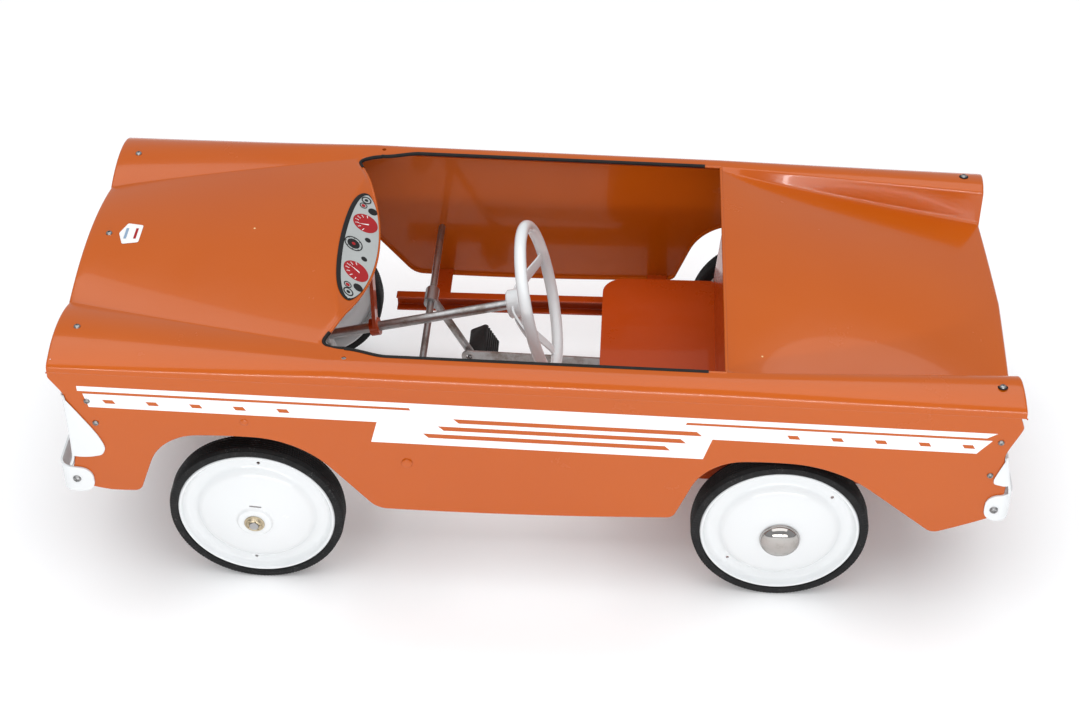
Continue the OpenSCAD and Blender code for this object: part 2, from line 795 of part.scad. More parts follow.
hanger_t = 4;
bush_r = 9;
module axle_hangers() {
    color(steel)
        for (side = [-1, 1])
            difference() {
                side_plate(side > 0 ? rail_y - hanger_t : -rail_y, hanger_t)
                    polygon(rounded([[rear_x - 26, rail_z + rail_h - 2, 4], [rear_x + 26, rail_z + rail_h - 2, 4],
                        [rear_x + 15, wheel_r - 15, 13], [rear_x - 15, wheel_r - 15, 13]]));
                y_rod(rear_x, wheel_r, -rail_y - 10, rail_y + 10, 2 * bush_r);
            }
}
module axle_bushes() {
    color(white)
        for (side = [-1, 1])
            translate([rear_x, side * (rail_y - hanger_t / 2), wheel_r])
                rotate([90, 0, 0])
                    difference() {
                        union() {
                            cylinder(r = bush_r, h = 12, center = true);
                            translate([0, 0, side > 0 ? hanger_t / 2 : -hanger_t / 2 - 2])
                                cylinder(r = bush_r + 3, h = 2);
                        }
                        cylinder(r = axle_d / 2 + running, h = 40, center = true);
                    }
}

rivet_d = 8;
module pedal_pivot_rod() {
    color(steel) {
        y_rod(pivot_x, pivot_z, -half_w - 1.5, half_w + 1.5, rivet_d);
        for (side = [-1, 1])
            y_rod(pivot_x, pivot_z, side > 0 ? half_w : -half_w - 1.5, side > 0 ? half_w + 1.5 : -half_w, 11);
    }
}

// ---------- steering ----------

arm_low = 122.5;
arm_t = 4;
pin_d = 6;
track_d = 7;
track_z = arm_low + arm_t + 1 + track_d / 2;
stub_end_y = wheel_face_y + 18;
collar_y = wheel_face_y - tyre_w - 3.5;

// Stub axle: kingpin, wheel spindle and steering arm. The arm's hole is opened by play.
module stub_axle(side, play) {
    color(steel)
        difference() {
            union() {
                z_rod(front_x, side * kingpin_y, wheel_r, arm_low + arm_t + 6, axle_d);
                y_rod(front_x, wheel_r, side > 0 ? kingpin_y : -stub_end_y,
                    side > 0 ? stub_end_y : -kingpin_y, axle_d);
                translate([front_x, side * kingpin_y, wheel_r])
                    sphere(d = axle_d);
                z_rod(front_x, side * kingpin_y, arm_low, arm_low + arm_t, 18);
                z_rod(arm_x, side * kingpin_y, arm_low, arm_low + arm_t, 15);
                translate([arm_x, side * kingpin_y - 6, arm_low])
                    cube([steer_arm, 12, arm_t]);
                y_rod(front_x, wheel_r, side > 0 ? collar_y : -collar_y - 2, side > 0 ? collar_y + 2 : -collar_y, 18);
            }
            z_rod(arm_x, side * kingpin_y, arm_low - 1, arm_low + arm_t + 1, pin_d + 2 * play);
        }
}
module stub_axle_left() stub_axle(1, running);
module stub_axle_right() stub_axle(-1, 0.6);

module kingpin_nut(side) {
    color(steel)
        translate([front_x, side * kingpin_y, arm_low + arm_t])
            difference() {
                cylinder(d = 17, h = 3.5);
                translate([0, 0, -1])
                    cylinder(d = axle_d, h = 6);
            }
}
module kingpin_nut_left() kingpin_nut(1);
module kingpin_nut_right() kingpin_nut(-1);

slot_w = 8.6;
pin_tip_d = 8;
module track_rod() {
    tab_t = 4;
    color(steel) {
        difference() {
            union() {
                y_rod(arm_x, track_z, -kingpin_y, kingpin_y, track_d);
                translate([arm_x - tab_t / 2, -11, track_z])
                    cube([tab_t, 22, drop_pin[2] + 12 - track_z]);
            }
            translate([arm_x - 5, -slot_w / 2, drop_pin[2] - 1])
                cube([10, slot_w, 7]);
            for (z = [drop_pin[2] - 1, drop_pin[2] + 6])
                translate([arm_x - 5, 0, z])
                    rotate([0, 90, 0])
                        cylinder(d = slot_w, h = 10);
        }
        for (side = [-1, 1])
            z_rod(arm_x, side * kingpin_y, arm_low - 3, track_z, pin_d);
    }
}

// Column with its drop arm; the arm's pin points forward through the track rod's slot
module steering_column() {
    arm_back = 16;
    color(steel) {
        along_column(dish - 8)
            cylinder(d = column_d, h = column_end - dish + 8);
        translate(drop_pin)
            rotate([0, 90 + column_tilt, 0])
                translate([0, 0, -arm_back])
                    cylinder(d = pin_tip_d, h = arm_back + 9);
        along_column(arm_along - arm_back) {
            cylinder(d = 18, h = 4);
            translate([0, -7, 0])
                cube([steer_arm, 14, 4]);
            translate([steer_arm, 0, 0])
                cylinder(d = 14, h = 4);
        }
    }
}

rim_d = 13;
dish = 27;
module steering_wheel() {
    color(white)
        along_column(0) {
            rotate_extrude($fn = 72)
                translate([steer_wheel_d / 2, 0])
                    circle(d = rim_d, $fn = 32);
            for (angle = [0, 90, 270])
                rotate([0, 0, angle])
                    rotate([90, 0, 0])
                        translate([0, 0, -6])
                            linear_extrude(12)
                                polygon([[12, dish - 3], [steer_wheel_d / 2 - 3, -2.5],
                                    [steer_wheel_d / 2 - 3, 2.5], [12, dish + 3]]);
            translate([0, 0, dish - 8])
                difference() {
                    cylinder(d = 32, h = 16);
                    translate([0, 0, -1])
                        cylinder(d = column_d, h = 18);
                }
        }
}
module steering_wheel_nut() {
    color(chrome)
        along_column(dish - 8 - 5)
            rotate_extrude()
                polygon([[0, 0], [5, 0.6], [8.5, 2.5], [10, 5], [0, 5]]);
}

// ---------- wheels ----------

disc_r = wheel_r * 0.9;
hub_r = 8.5;
boss_r = 17;
// Wheel disc with its rim band and hub tube; 0 on its Z axis is the outer face
module wheel_disc(bore_r, slotted) {
    face = [[disc_r, -tyre_w], [disc_r, -2], [disc_r - 1.5, 0], [disc_r - 4, 0], [disc_r - 7, -6],
        [disc_r - 10, -8], [disc_r - 17, -7], [disc_r * 0.74, -2.5], [disc_r * 0.6, 3], [disc_r * 0.4, 7.5],
        [boss_r + 2, 10.5], [boss_r, 13], [hub_r - 1, 13]];
    back = [[hub_r - 1, 11], [boss_r - 1.2, 11], [boss_r, 8.7], [disc_r * 0.4, 5.7], [disc_r * 0.6, 1.2],
        [disc_r * 0.74, -4.3], [disc_r - 17, -8.8], [disc_r - 10, -9.8], [disc_r - 6, -8], [disc_r - 1.8, -5],
        [disc_r - 1.8, 1.8 - tyre_w], [disc_r - 9, 1.8 - tyre_w], [disc_r - 9, -tyre_w]];
    difference() {
        union() {
            rotate_extrude($fn = 72)
                polygon(concat(face, back));
            translate([0, 0, -tyre_w - 1])
                cylinder(r = hub_r, h = tyre_w + 14);
        }
        translate([0, 0, -tyre_w - 20])
            cylinder(r = bore_r, h = tyre_w + 60);
        for (side = [-1, 1])
            translate([0, side * disc_r * 0.83, -14])
                cylinder(d = 4, h = 30);
        if (slotted)
            translate([-6.5, -22.5, -5])
                cube([13, 2, 30]);
    }
}

// Child placed on the outer wheel face, its Z axis pointing away from the car
module on_wheel(x, side, turn) {
    translate([x, side * wheel_face_y, wheel_r])
        rotate([-90 * side, 0, 0])
            rotate([0, 0, turn])
                children();
}

module tyre() {
    half = tyre_w / 2;
    groove = 1;
    translate([0, 0, -half])
        rotate_extrude($fn = 72)
            difference() {
                polygon(rounded([[disc_r, -half, 0], [disc_r, half, 0], [disc_r + 3, half + 1, 0],
                    [wheel_r - 2, half - 0.5, 2], [wheel_r, half - 4, 3], [wheel_r, 4 - half, 3],
                    [wheel_r - 2, 0.5 - half, 2], [disc_r + 3, -half - 1, 0]]));
                for (n = [-1, 0, 1])
                    translate([wheel_r - groove, n * 5 - 0.8])
                        square([2, 1.6]);
            }
}

spin_bore = axle_d / 2 + running;
module wheel_front_left()
    color(white) on_wheel(front_x, 1, -6) wheel_disc(spin_bore, true);
module wheel_front_right()
    color(white) on_wheel(front_x, -1, 0) wheel_disc(spin_bore, true);
module wheel_rear_left()
    color(white) on_wheel(rear_x, 1, -48) wheel_disc(axle_d / 2, false);
module wheel_rear_right()
    color(white) on_wheel(rear_x, -1, 0) wheel_disc(spin_bore, false);
module tyre_front_left()
    color(black) on_wheel(front_x, 1, 0) tyre();
module tyre_front_right()
    color(black) on_wheel(front_x, -1, 0) tyre();
module tyre_rear_left()
    color(black) on_wheel(rear_x, 1, 0) tyre();
module tyre_rear_right()
    color(black) on_wheel(rear_x, -1, 0) tyre();

// Push-on nut outside a wheel's hub
module push_nut() {
    translate([0, 0, 13.4])
        difference() {
            rotate_extrude()
                polygon([[0, 0], [11, 0], [11, 1], [8, 2.6], [6, 4], [0, 4]]);
            translate([0, 0, -1])
                cylinder(d = axle_d, h = 8);
        }
}
module push_nut_front_left()
    color(steel) on_wheel(front_x, 1, 0) push_nut();
module push_nut_front_right()
    color(steel) on_wheel(front_x, -1, 0) push_nut();
module push_nuts_rear()
    color(steel)
        for (side = [-1, 1])
            on_wheel(rear_x, side, 0) push_nut();

// Domed cap pressed over a wheel's boss
module hub_cap() {
    cap_r = 21.5;
    base = 10.4;
    rise = 13;
    outer = [for (a = [0:10:90]) [cap_r * sin(a), base + rise * cos(a)]];
    inner = [for (a = [90:-10:0]) [(cap_r - 1) * sin(a), base + (rise - 1) * cos(a)]];
    rotate_extrude()
        polygon(concat(outer, inner));
}
module hub_cap_front_right()
    color(chrome) on_wheel(front_x, -1, 0) hub_cap();
module hub_cap_rear_left()
    color(chrome) on_wheel(rear_x, 1, 0) hub_cap();
module hub_cap_rear_right()
    color(chrome) on_wheel(rear_x, -1, 0) hub_cap();

// ---------- drive ----------

rod_y = 62;
rod_t = 3;
web_gap = 5;
web_t = 4;
module crank_web(side, y) {
    x_pin = rear_x + side * crank_throw;
    low = min(rear_x, x_pin);
    side_plate(y, web_t) {
        translate([rear_x, wheel_r])
            circle(d = 16);
        translate([x_pin, wheel_r])
            circle(d = 16);
        translate([low, wheel_r - 7])
            square([crank_throw, 14]);
    }
}

module crank_axle() {
    inner = rod_y - web_gap;
    outer = rod_y + web_gap;
    color(steel) {
        y_rod(rear_x, wheel_r, -inner, inner, axle_d);
        for (side = [-1, 1]) {
            y_rod(rear_x, wheel_r, side > 0 ? outer : -stub_end_y, side > 0 ? stub_end_y : -outer, axle_d);
            y_rod(rear_x + side * crank_throw, wheel_r, side > 0 ? inner : -outer, side > 0 ? outer : -inner, 8);
            crank_web(side, side > 0 ? inner - web_t : -inner);
            crank_web(side, side > 0 ? outer : -outer - web_t);
        }
    }
}

swing = asin(crank_throw / rod_drop);
rod_eye_z = pivot_z - rod_drop * cos(swing);

// Flat pedal rod from its crank pin to the eye beside the pedal arm
module pedal_rod(side) {
    from = [rear_x + side * crank_throw, wheel_r];
    to = [pivot_x + side * crank_throw, rod_eye_z];
    dir = (to - from) / norm(to - from);
    across = [-dir[1], dir[0]] * 8;
    past = dir * 9;
    function end_corner(p, reach, wide) = [each (p + reach + wide), 7.9];
    color(steel)
        difference() {
            side_plate(side > 0 ? rod_y - rod_t / 2 : -rod_y - rod_t / 2, rod_t)
                polygon(rounded([end_corner(from, -past, across), end_corner(to, past, across),
                    end_corner(to, past, -across), end_corner(from, -past, -across)]));
            y_rod(from[0], from[1], -100, 100, 8 + 2 * running);
            y_rod(to[0], to[1], -100, 100, 7);
        }
}
module pedal_rod_left() pedal_rod(1);
module pedal_rod_right() pedal_rod(-1);

arm_y = 71;
arm_d = 9;
spindle_l = 60;
// Pedal arm with its pivot tube, short rod pin and pedal spindle
module pedal_arm(side) {
    color(steel)
        translate([pivot_x, side * arm_y, pivot_z])
            rotate([0, -side * swing, 0])
                scale([1, side, 1])
                    difference() {
                        union() {
                            translate([0, 0, -pedal_drop])
                                cylinder(d = arm_d, h = pedal_drop);
                            translate([0, 0, -pedal_drop])
                                sphere(d = arm_d);
                            y_rod(0, 0, -12, 12, 16);
                            y_rod(0, -rod_drop, 2 + rod_t / 2 + rod_y - arm_y, 0, 6);
                            y_rod(0, -pedal_drop, 0, spindle_l, arm_d);
                        }
                        y_rod(0, 0, -20, 20, rivet_d + 2 * running);
                    }
}
module pedal_arm_left() pedal_arm(1);
module pedal_arm_right() pedal_arm(-1);

module pedal_block(side) {
    block_l = 52;
    color(black)
        translate([pivot_x, side * arm_y, pivot_z])
            rotate([0, -side * swing, 0])
                scale([1, side, 1])
                    translate([0, arm_d / 2 + 2, -pedal_drop])
                        difference() {
                            translate([0, block_l, 0])
                                rotate([90, 0, 0])
                                    linear_extrude(block_l)
                                        polygon(rounded([[-12, -17, 5], [12, -17, 5], [12, 17, 5], [-12, 17, 5]]));
                            y_rod(0, 0, -5, block_l + 5, arm_d);
                        }
}
module pedal_block_left() pedal_block(1);
module pedal_block_right() pedal_block(-1);

body_top();
side_panel_left();
side_panel_right();
dash_label();
nose_label();
side_flash_left();
side_flash_right();
grille_panel();
headlamps();
headlamp_lenses();
front_bumper();
tail_panel();
tail_lamps();
rear_bumper();
top_screws();
side_screws();
bumper_bolts();
side_rivets();
front_cross_member();
beam_hangers();
front_axle_beam();
column_foot_bracket();
column_dash_bracket();
chassis_rails();
outriggers();
rear_cross_member();
seat_pan();
seat_back();
axle_hangers();
axle_bushes();
pedal_pivot_rod();
stub_axle_left();
stub_axle_right();
kingpin_nut_left();
kingpin_nut_right();
track_rod();
steering_column();
steering_wheel();
steering_wheel_nut();
wheel_front_left();
wheel_front_right();
tyre_front_left();
tyre_front_right();
push_nut_front_left();
push_nut_front_right();
hub_cap_front_right();
crank_axle();
push_nuts_rear();
wheel_rear_left();
tyre_rear_left();
hub_cap_rear_left();
wheel_rear_right();
tyre_rear_right();
hub_cap_rear_right();
pedal_rod_left();
pedal_rod_right();
pedal_arm_left();
pedal_arm_right();
pedal_block_left();
pedal_block_right();
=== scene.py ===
"""Pedal car: the looks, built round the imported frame. Metres, X forward, Y to the car's left, Z up."""

import json
import math

import bmesh
import bpy
from mathutils import Matrix, Vector


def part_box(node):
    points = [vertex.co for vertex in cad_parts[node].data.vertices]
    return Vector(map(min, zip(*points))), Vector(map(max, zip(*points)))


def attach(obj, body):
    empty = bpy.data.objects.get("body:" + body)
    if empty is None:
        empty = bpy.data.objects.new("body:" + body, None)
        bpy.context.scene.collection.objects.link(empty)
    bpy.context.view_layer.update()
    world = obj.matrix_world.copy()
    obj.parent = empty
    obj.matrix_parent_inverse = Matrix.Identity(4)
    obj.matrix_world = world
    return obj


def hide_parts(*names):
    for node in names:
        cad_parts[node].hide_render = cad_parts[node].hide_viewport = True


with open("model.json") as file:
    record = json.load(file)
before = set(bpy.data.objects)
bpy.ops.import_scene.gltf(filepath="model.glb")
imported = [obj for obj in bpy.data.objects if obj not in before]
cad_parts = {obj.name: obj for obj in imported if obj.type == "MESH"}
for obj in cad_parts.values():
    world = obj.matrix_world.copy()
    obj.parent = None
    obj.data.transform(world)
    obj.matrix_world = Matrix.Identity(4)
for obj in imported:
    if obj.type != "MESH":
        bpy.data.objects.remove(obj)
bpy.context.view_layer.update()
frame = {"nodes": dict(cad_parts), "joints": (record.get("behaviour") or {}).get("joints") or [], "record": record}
NODES = frame["nodes"]
RECORD = frame["record"]
MM = 0.001


# ---------- numbers ----------

def mix(a, b, k):
    return a + (b - a) * k


def clamp01(v):
    return min(max(v, 0.0), 1.0)


def smoothstep(k):
    k = clamp01(k)
    return k * k * (3 - 2 * k)


def spaced(a, b, count, ease=1.0):
    """count values from a up to, and without, b; an ease above 1 crowds them near a."""
    return [mix(a, b, (k / count) ** ease) for k in range(count)]


def in_mm(*points):
    """Points given in millimetres."""
    return [tuple(v * MM for v in point) for point in points]


def low(node):
    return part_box(node)[0]


def high(node):
    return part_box(node)[1]


def middle(node):
    return (low(node) + high(node)) / 2


# ---------- camera, light and floor ----------

def look_from(azimuth, elevation, distance, target, roll, lens):
    """Camera on the photographer's side of the car. Azimuth 0 is straight off the left side."""
    away = Vector((math.sin(azimuth) * math.cos(elevation),
                   math.cos(azimuth) * math.cos(elevation),
                   math.sin(elevation)))
    data = bpy.data.cameras.new("camera")
    data.lens = lens
    data.sensor_width = 36
    camera = bpy.data.objects.new("camera", data)
    bpy.context.scene.collection.objects.link(camera)
    turn = away.to_track_quat("Z", "Y").to_matrix() @ Matrix.Rotation(roll, 3, "Z")
    camera.matrix_world = Matrix.Translation(target + away * distance) @ turn.to_4x4()
    bpy.context.scene.camera = camera


def soft_light(name, place, aim, size, power):
    """White area light at a place, turned toward its aim."""
    data = bpy.data.lights.new(name, "AREA")
    data.shape = "RECTANGLE"
    data.size, data.size_y = size
    data.energy = power
    lamp = bpy.data.objects.new(name, data)
    bpy.context.scene.collection.objects.link(lamp)
    facing = (Vector(aim) - Vector(place)).to_track_quat("-Z", "Y")
    lamp.matrix_world = Matrix.Translation(Vector(place)) @ facing.to_matrix().to_4x4()


def studio():
    """Pale floor, three soft lights and a plain world."""
    world = bpy.data.worlds.new("studio")
    bpy.context.scene.world = world
    world.use_nodes = True
    sky = world.node_tree.nodes["Background"]
    sky.inputs["Color"].default_value = (0.93, 0.96, 1.0, 1.0)
    sky.inputs["Strength"].default_value = 0.5
    soft_light("overhead", (0.0, 0.2, 2.8), (0, 0.15, 0.1), (4.6, 4.0), 86)
    soft_light("edge_strip", (-0.2, 3.2, 0.95), (0, 0, 0.25), (3.4, 0.1), 26)
    soft_light("front_low", (-0.3, 3.4, 0.75), (0, 0, 0.25), (3.6, 0.9), 24)
    size = 9.0
    ground = low("tyre_front_left").z
    floor = new_mesh("floor", [(-size, -size, ground), (size, -size, ground),
                               (size, size, ground), (-size, size, ground)],
                     [(0, 1, 2, 3)], floor_paper())
    bpy.context.scene.view_settings.view_transform = "Standard"


# ---------- materials ----------

class Shader:
    """A material with one Principled shader and short names for the nodes that feed it."""

    def __init__(self, name, colour, roughness, metallic=0.0):
        self.material = bpy.data.materials.new(name)
        self.material.use_nodes = True
        self.tree = self.material.node_tree
        self.surface = self.tree.nodes["Principled BSDF"]
        self.set("Base Color", (*colour, 1.0)).set("Roughness", roughness).set("Metallic", metallic)
        self.where = self.tree.nodes.new("ShaderNodeTexCoord").outputs["Object"]

    def set(self, socket, value):
        self.surface.inputs[socket].default_value = value
        return self

    def feed(self, value, socket):
        self.tree.links.new(value, self.surface.inputs[socket])
        return self

    def node(self, kind, inputs, **settings):
        """Adds a node and gives it its settings, then its inputs: links, numbers or colours."""
        made = self.tree.nodes.new("ShaderNode" + kind)
        for key, value in settings.items():
            setattr(made, key, value)
        for key, value in inputs.items():
            socket = made.inputs[key]
            if isinstance(value, bpy.types.NodeSocket):
                self.tree.links.new(value, socket)
            else:
                socket.default_value = (*value, 1.0) if socket.type == "RGBA" else value
        return made.outputs

    def stretched(self, scale):
        return self.node("Mapping", {"Scale": scale, "Vector": self.where})["Vector"]

    def noise(self, scale, detail=3.0, rough=0.55, along=None):
        return self.node("TexNoise", {"Scale": scale, "Detail": detail, "Roughness": rough,
                                      "Vector": along or self.where})["Fac"]

    def cells(self, scale):
        return self.node("TexVoronoi", {"Scale": scale, "Vector": self.where})["Distance"]

    def remap(self, value, from_low, from_high, to_low, to_high):
        return self.node("MapRange", {"Value": value, "From Min": from_low, "From Max": from_high,
                                      "To Min": to_low, "To Max": to_high})["Result"]

    def maths(self, operation, a, b):
        return self.node("Math", {0: a, 1: b}, operation=operation)["Value"]

    def blend(self, amount, one, two):
        return self.node("Mix", {"Factor": amount, "A": one, "B": two}, data_type="RGBA")["Result"]

    def bump(self, height, depth):
        return self.feed(self.node("Bump", {"Distance": depth, "Height": height})["Normal"], "Normal")


def enamel(name, colour, shade, gloss, chip_colour, chip_size):
    """Sprayed gloss paint: slow drift in tone, faint orange peel, dust and a few small chips."""
    paint = Shader(name, colour, gloss)
    paint.set("Coat Weight", 0.35).set("Coat Roughness", 0.05).set("Specular IOR Level", 0.3)
    drift = paint.remap(paint.noise(2.6, 4.0), 0.3, 0.7, 0.0, 1.0)
    tone = paint.blend(drift, colour, shade)
    spots = paint.cells(34.0)
    chip = paint.remap(spots, chip_size * 0.7, chip_size, 1.0, 0.0)
    rare = paint.remap(paint.noise(9.0, 1.0), 0.66, 0.68, 0.0, 1.0)
    chipped = paint.maths("MULTIPLY", chip, rare)
    paint.feed(paint.blend(chipped, tone, chip_colour), "Base Color")
    haze = paint.noise(14.0, 5.0, 0.65)
    paint.feed(paint.remap(haze, 0.35, 0.75, gloss * 0.85, gloss * 1.5), "Roughness")
    peel = paint.maths("SUBTRACT", paint.noise(420.0, 2.0), paint.maths("MULTIPLY", chipped, 2.0))
    return paint.bump(peel, 0.00006).material


def printed(name, colour, gloss, shade=None):
    """Thin printed or painted marking, slightly uneven in tone."""
    ink = Shader(name, colour, gloss)
    ink.set("Coat Weight", 0.1).set("Coat Roughness", 0.12).set("Specular IOR Level", 0.3)
    darker = shade or tuple(c * 0.9 for c in colour)
    ink.feed(ink.blend(ink.remap(ink.noise(22.0, 5.0), 0.4, 0.7, 0.0, 1.0), colour, darker), "Base Color")
    ink.feed(ink.remap(ink.noise(60.0, 4.0), 0.3, 0.7, gloss * 0.8, gloss * 1.35), "Roughness")
    return ink.bump(ink.noise(600.0, 2.0), 0.00003).material


def metal(name, colour, dull, rough, grain, stretch=(1.0, 1.0, 1.0)):
    """Bare or plated metal with drawn grain, stains and small pits."""
    bar = Shader(name, colour, rough, 1.0)
    lines = bar.noise(grain, 4.0, 0.7, bar.stretched(stretch))
    stain = bar.remap(bar.noise(38.0, 5.0, 0.7), 0.45, 0.72, 0.0, 1.0)
    bar.feed(bar.blend(stain, colour, dull), "Base Color")
    spread = bar.maths("ADD", bar.remap(lines, 0.3, 0.7, rough * 0.75, rough * 1.3),
                       bar.maths("MULTIPLY", stain, 0.16))
    bar.feed(spread, "Roughness")
    return bar.bump(lines, 0.00004).material


def rubber(name, colour, dust, amount, rough=0.62):
    """Moulded rubber with a fine matt skin and scattered pale dust."""
    skin = Shader(name, colour, rough)
    skin.set("Specular IOR Level", 0.25)
    speck = skin.cells(620.0)
    grains = skin.remap(speck, 0.16, 0.3, 1.0, 0.0)
    patches = skin.remap(skin.noise(55.0, 6.0, 0.7), 0.5, 0.74, 0.0, amount)
    film = skin.remap(skin.noise(18.0, 4.0, 0.6), 0.5, 0.8, 0.0, 0.03)
    dusty = skin.maths("ADD", skin.maths("MULTIPLY", grains, patches), film)
    skin.feed(skin.blend(dusty, colour, dust), "Base Color")
    skin.feed(skin.remap(skin.noise(90.0, 4.0), 0.3, 0.7, rough * 0.85, rough * 1.2), "Roughness")
    return skin.bump(skin.noise(1500.0, 3.0), 0.00006).material


def mirror_chrome():
    plate = Shader("chrome", (0.45, 0.43, 0.41), 0.05, 1.0)
    smear = plate.remap(plate.noise(70.0, 6.0, 0.72), 0.42, 0.75, 0.035, 0.17)
    plate.feed(smear, "Roughness")
    plate.feed(plate.blend(plate.remap(plate.noise(120.0, 4.0), 0.5, 0.8, 0.0, 1.0),
                           (0.46, 0.44, 0.42), (0.36, 0.34, 0.31)), "Base Color")
    return plate.bump(plate.noise(300.0, 2.0), 0.000012).material


def floor_paper():
    paper = Shader("floor_paper", (0.93, 0.93, 0.93), 0.8)
    paper.feed(paper.blend(paper.noise(3.0, 3.0), (0.92, 0.92, 0.92), (0.94, 0.94, 0.94)), "Base Color")
    paper.set("Emission Color", (1, 1, 1, 1)).set("Emission Strength", 0.08)
    return paper.material


ORANGE = enamel("orange_enamel", (0.5, 0.094, 0.002), (0.465, 0.082, 0.002), 0.2, (0.8, 0.62, 0.3), 0.045)
INNER_ORANGE = enamel("orange_inside", (0.45, 0.055, 0.003), (0.40, 0.045, 0.002), 0.3, (0.3, 0.2, 0.1), 0.05)
WHITE = enamel("white_enamel", (0.745, 0.76, 0.765), (0.715, 0.73, 0.735), 0.2, (0.25, 0.2, 0.16), 0.03)
FLASH = printed("flash_white", (0.9, 0.9, 0.9), 0.25, (0.875, 0.875, 0.88))
LABEL_GREY = printed("label_grey", (0.42, 0.44, 0.43), 0.35)
LABEL_BLACK = printed("label_black", (0.004, 0.004, 0.004), 0.4, (0.007, 0.007, 0.007))
LABEL_RED = printed("label_red", (0.36, 0.007, 0.01), 0.3)
LABEL_WHITE = printed("label_white", (0.86, 0.86, 0.85), 0.3)
LABEL_BLUE = printed("label_blue", (0.25, 0.36, 0.5), 0.3)
LAMP_RED = enamel("lamp_red", (0.42, 0.012, 0.01), (0.34, 0.008, 0.008), 0.15, (0.5, 0.4, 0.3), 0.03)
LAMP_SILVER = metal("lamp_silver", (0.72, 0.73, 0.74), (0.6, 0.6, 0.6), 0.28, 300.0)
ZINC = metal("zinc_plate", (0.34, 0.34, 0.34), (0.2, 0.19, 0.18), 0.34, 500.0)
BRASSY = metal("passivated_zinc", (0.55, 0.47, 0.33), (0.33, 0.26, 0.17), 0.33, 420.0)
STEEL = metal("drawn_steel", (0.42, 0.42, 0.42), (0.22, 0.18, 0.15), 0.38, 260.0, (1.0, 0.12, 1.0))
CHROME = mirror_chrome()
NYLON = printed("nylon", (0.72, 0.71, 0.66), 0.45)
TYRE = rubber("tyre_rubber", (0.006, 0.006, 0.0065), (0.22, 0.21, 0.2), 0.9)
PEDAL_RUBBER = rubber("pedal_rubber", (0.016, 0.016, 0.016), (0.16, 0.15, 0.14), 0.5)
BLACK_RUBBER = rubber("black_rubber", (0.004, 0.004, 0.004), (0.06, 0.06, 0.06), 0.25, 0.5)
# Near-black for the inside of the screws' cross recesses: painted shade in the recess, not a colour of the zinc.
RECESS_SHADE = printed("screw_recess_painted_shade", (0.03, 0.03, 0.03), 0.5)


# ---------- mesh tools ----------

def shade(mesh, sharp_angle):
    mesh.shade_smooth()
    mesh.set_sharp_from_angle(angle=math.radians(sharp_angle))


def new_mesh(name, verts, faces, material, sharp_angle=35):
    mesh = bpy.data.meshes.new(name)
    mesh.from_pydata([tuple(v) for v in verts], [], faces)
    mesh.validate()
    mesh.materials.append(material)
    shade(mesh, sharp_angle)
    obj = bpy.data.objects.new(name, mesh)
    bpy.context.scene.collection.objects.link(obj)
    return obj


def settle(obj, sharp_angle=None):
    """Applies the object's modifiers to its mesh."""
    bpy.context.view_layer.update()
    graph = bpy.context.evaluated_depsgraph_get()
    mesh = bpy.data.meshes.new_from_object(obj.evaluated_get(graph))
    mesh.name = obj.name
    obj.modifiers.clear()
    obj.data = mesh
    if sharp_angle is not None:
        shade(mesh, sharp_angle)
    return obj


def thicken(obj, thickness, sharp_angle=35):
    """Turns an open surface into sheet metal: the sheet lies behind the surface."""
    solid = obj.modifiers.new("sheet", "SOLIDIFY")
    solid.thickness = thickness
    solid.offset = -1.0
    return settle(obj, sharp_angle)


def grid(name, rows, material, wrap_rows=False, wrap_cols=False, sharp_angle=35):
    """Quads over rows of points; a point that is None leaves a hole."""
    index, verts = {}, []
    for i, row in enumerate(rows):
        for j, point in enumerate(row):
            if point is not None:
                index[i, j] = len(verts)
                verts.append(point)
    count, width, faces = len(rows), len(rows[0]), []
    for i in range(count if wrap_rows else count - 1):
        for j in range(width if wrap_cols else width - 1):
            corners = [(i, j), (i, (j + 1) % width),
                       ((i + 1) % count, (j + 1) % width), ((i + 1) % count, j)]
            if all(c in index for c in corners):
                faces.append([index[c] for c in corners])
    return new_mesh(name, verts, faces, material, sharp_angle)


def weld(obj, distance=1e-6):
    """Merges points that coincide and turns the faces outward."""
    return remade(obj, lambda work: bmesh.ops.remove_doubles(work, verts=work.verts, dist=distance),
                  lambda work: bmesh.ops.dissolve_degenerate(work, edges=work.edges, dist=distance),
                  lambda work: bmesh.ops.recalc_face_normals(work, faces=work.faces))


def revolve(name, profile, material, segments=96, closed=False, sharp_angle=35):
    """Turns a profile of (radius, height) points about Z."""
    rows = around(segments, lambda k, turn: [(r * math.cos(turn), r * math.sin(turn), h) for r, h in profile])
    return weld(grid(name, rows, material, wrap_rows=True, wrap_cols=closed, sharp_angle=sharp_angle))


def tube(name, path, radius, material, closed=False, sides=12):
    """Round rod or bead along a path, with its frame carried along without twist."""
    pts = [Vector(p) for p in path]
    n = len(pts)
    rows, side = [], None
    for i in range(n):
        ahead = pts[(i + 1) % n] if closed or i + 1 < n else pts[i]
        behind = pts[i - 1] if closed or i > 0 else pts[i]
        along = (ahead - behind).normalized()
        if side is None:
            side = along.orthogonal().normalized()
        side = (side - along * side.dot(along)).normalized()
        up = along.cross(side)
        rows.append([pts[i] + radius * (side * math.cos(a) + up * math.sin(a))
                     for a in (2 * math.pi * k / sides for k in range(sides))])
    obj = grid(name, rows, material, wrap_rows=closed, wrap_cols=True, sharp_angle=60)
    if not closed:
        remade(obj, lambda work: bmesh.ops.holes_fill(work, edges=work.edges, sides=sides))
        shade(obj.data, 60)
    return weld(obj)


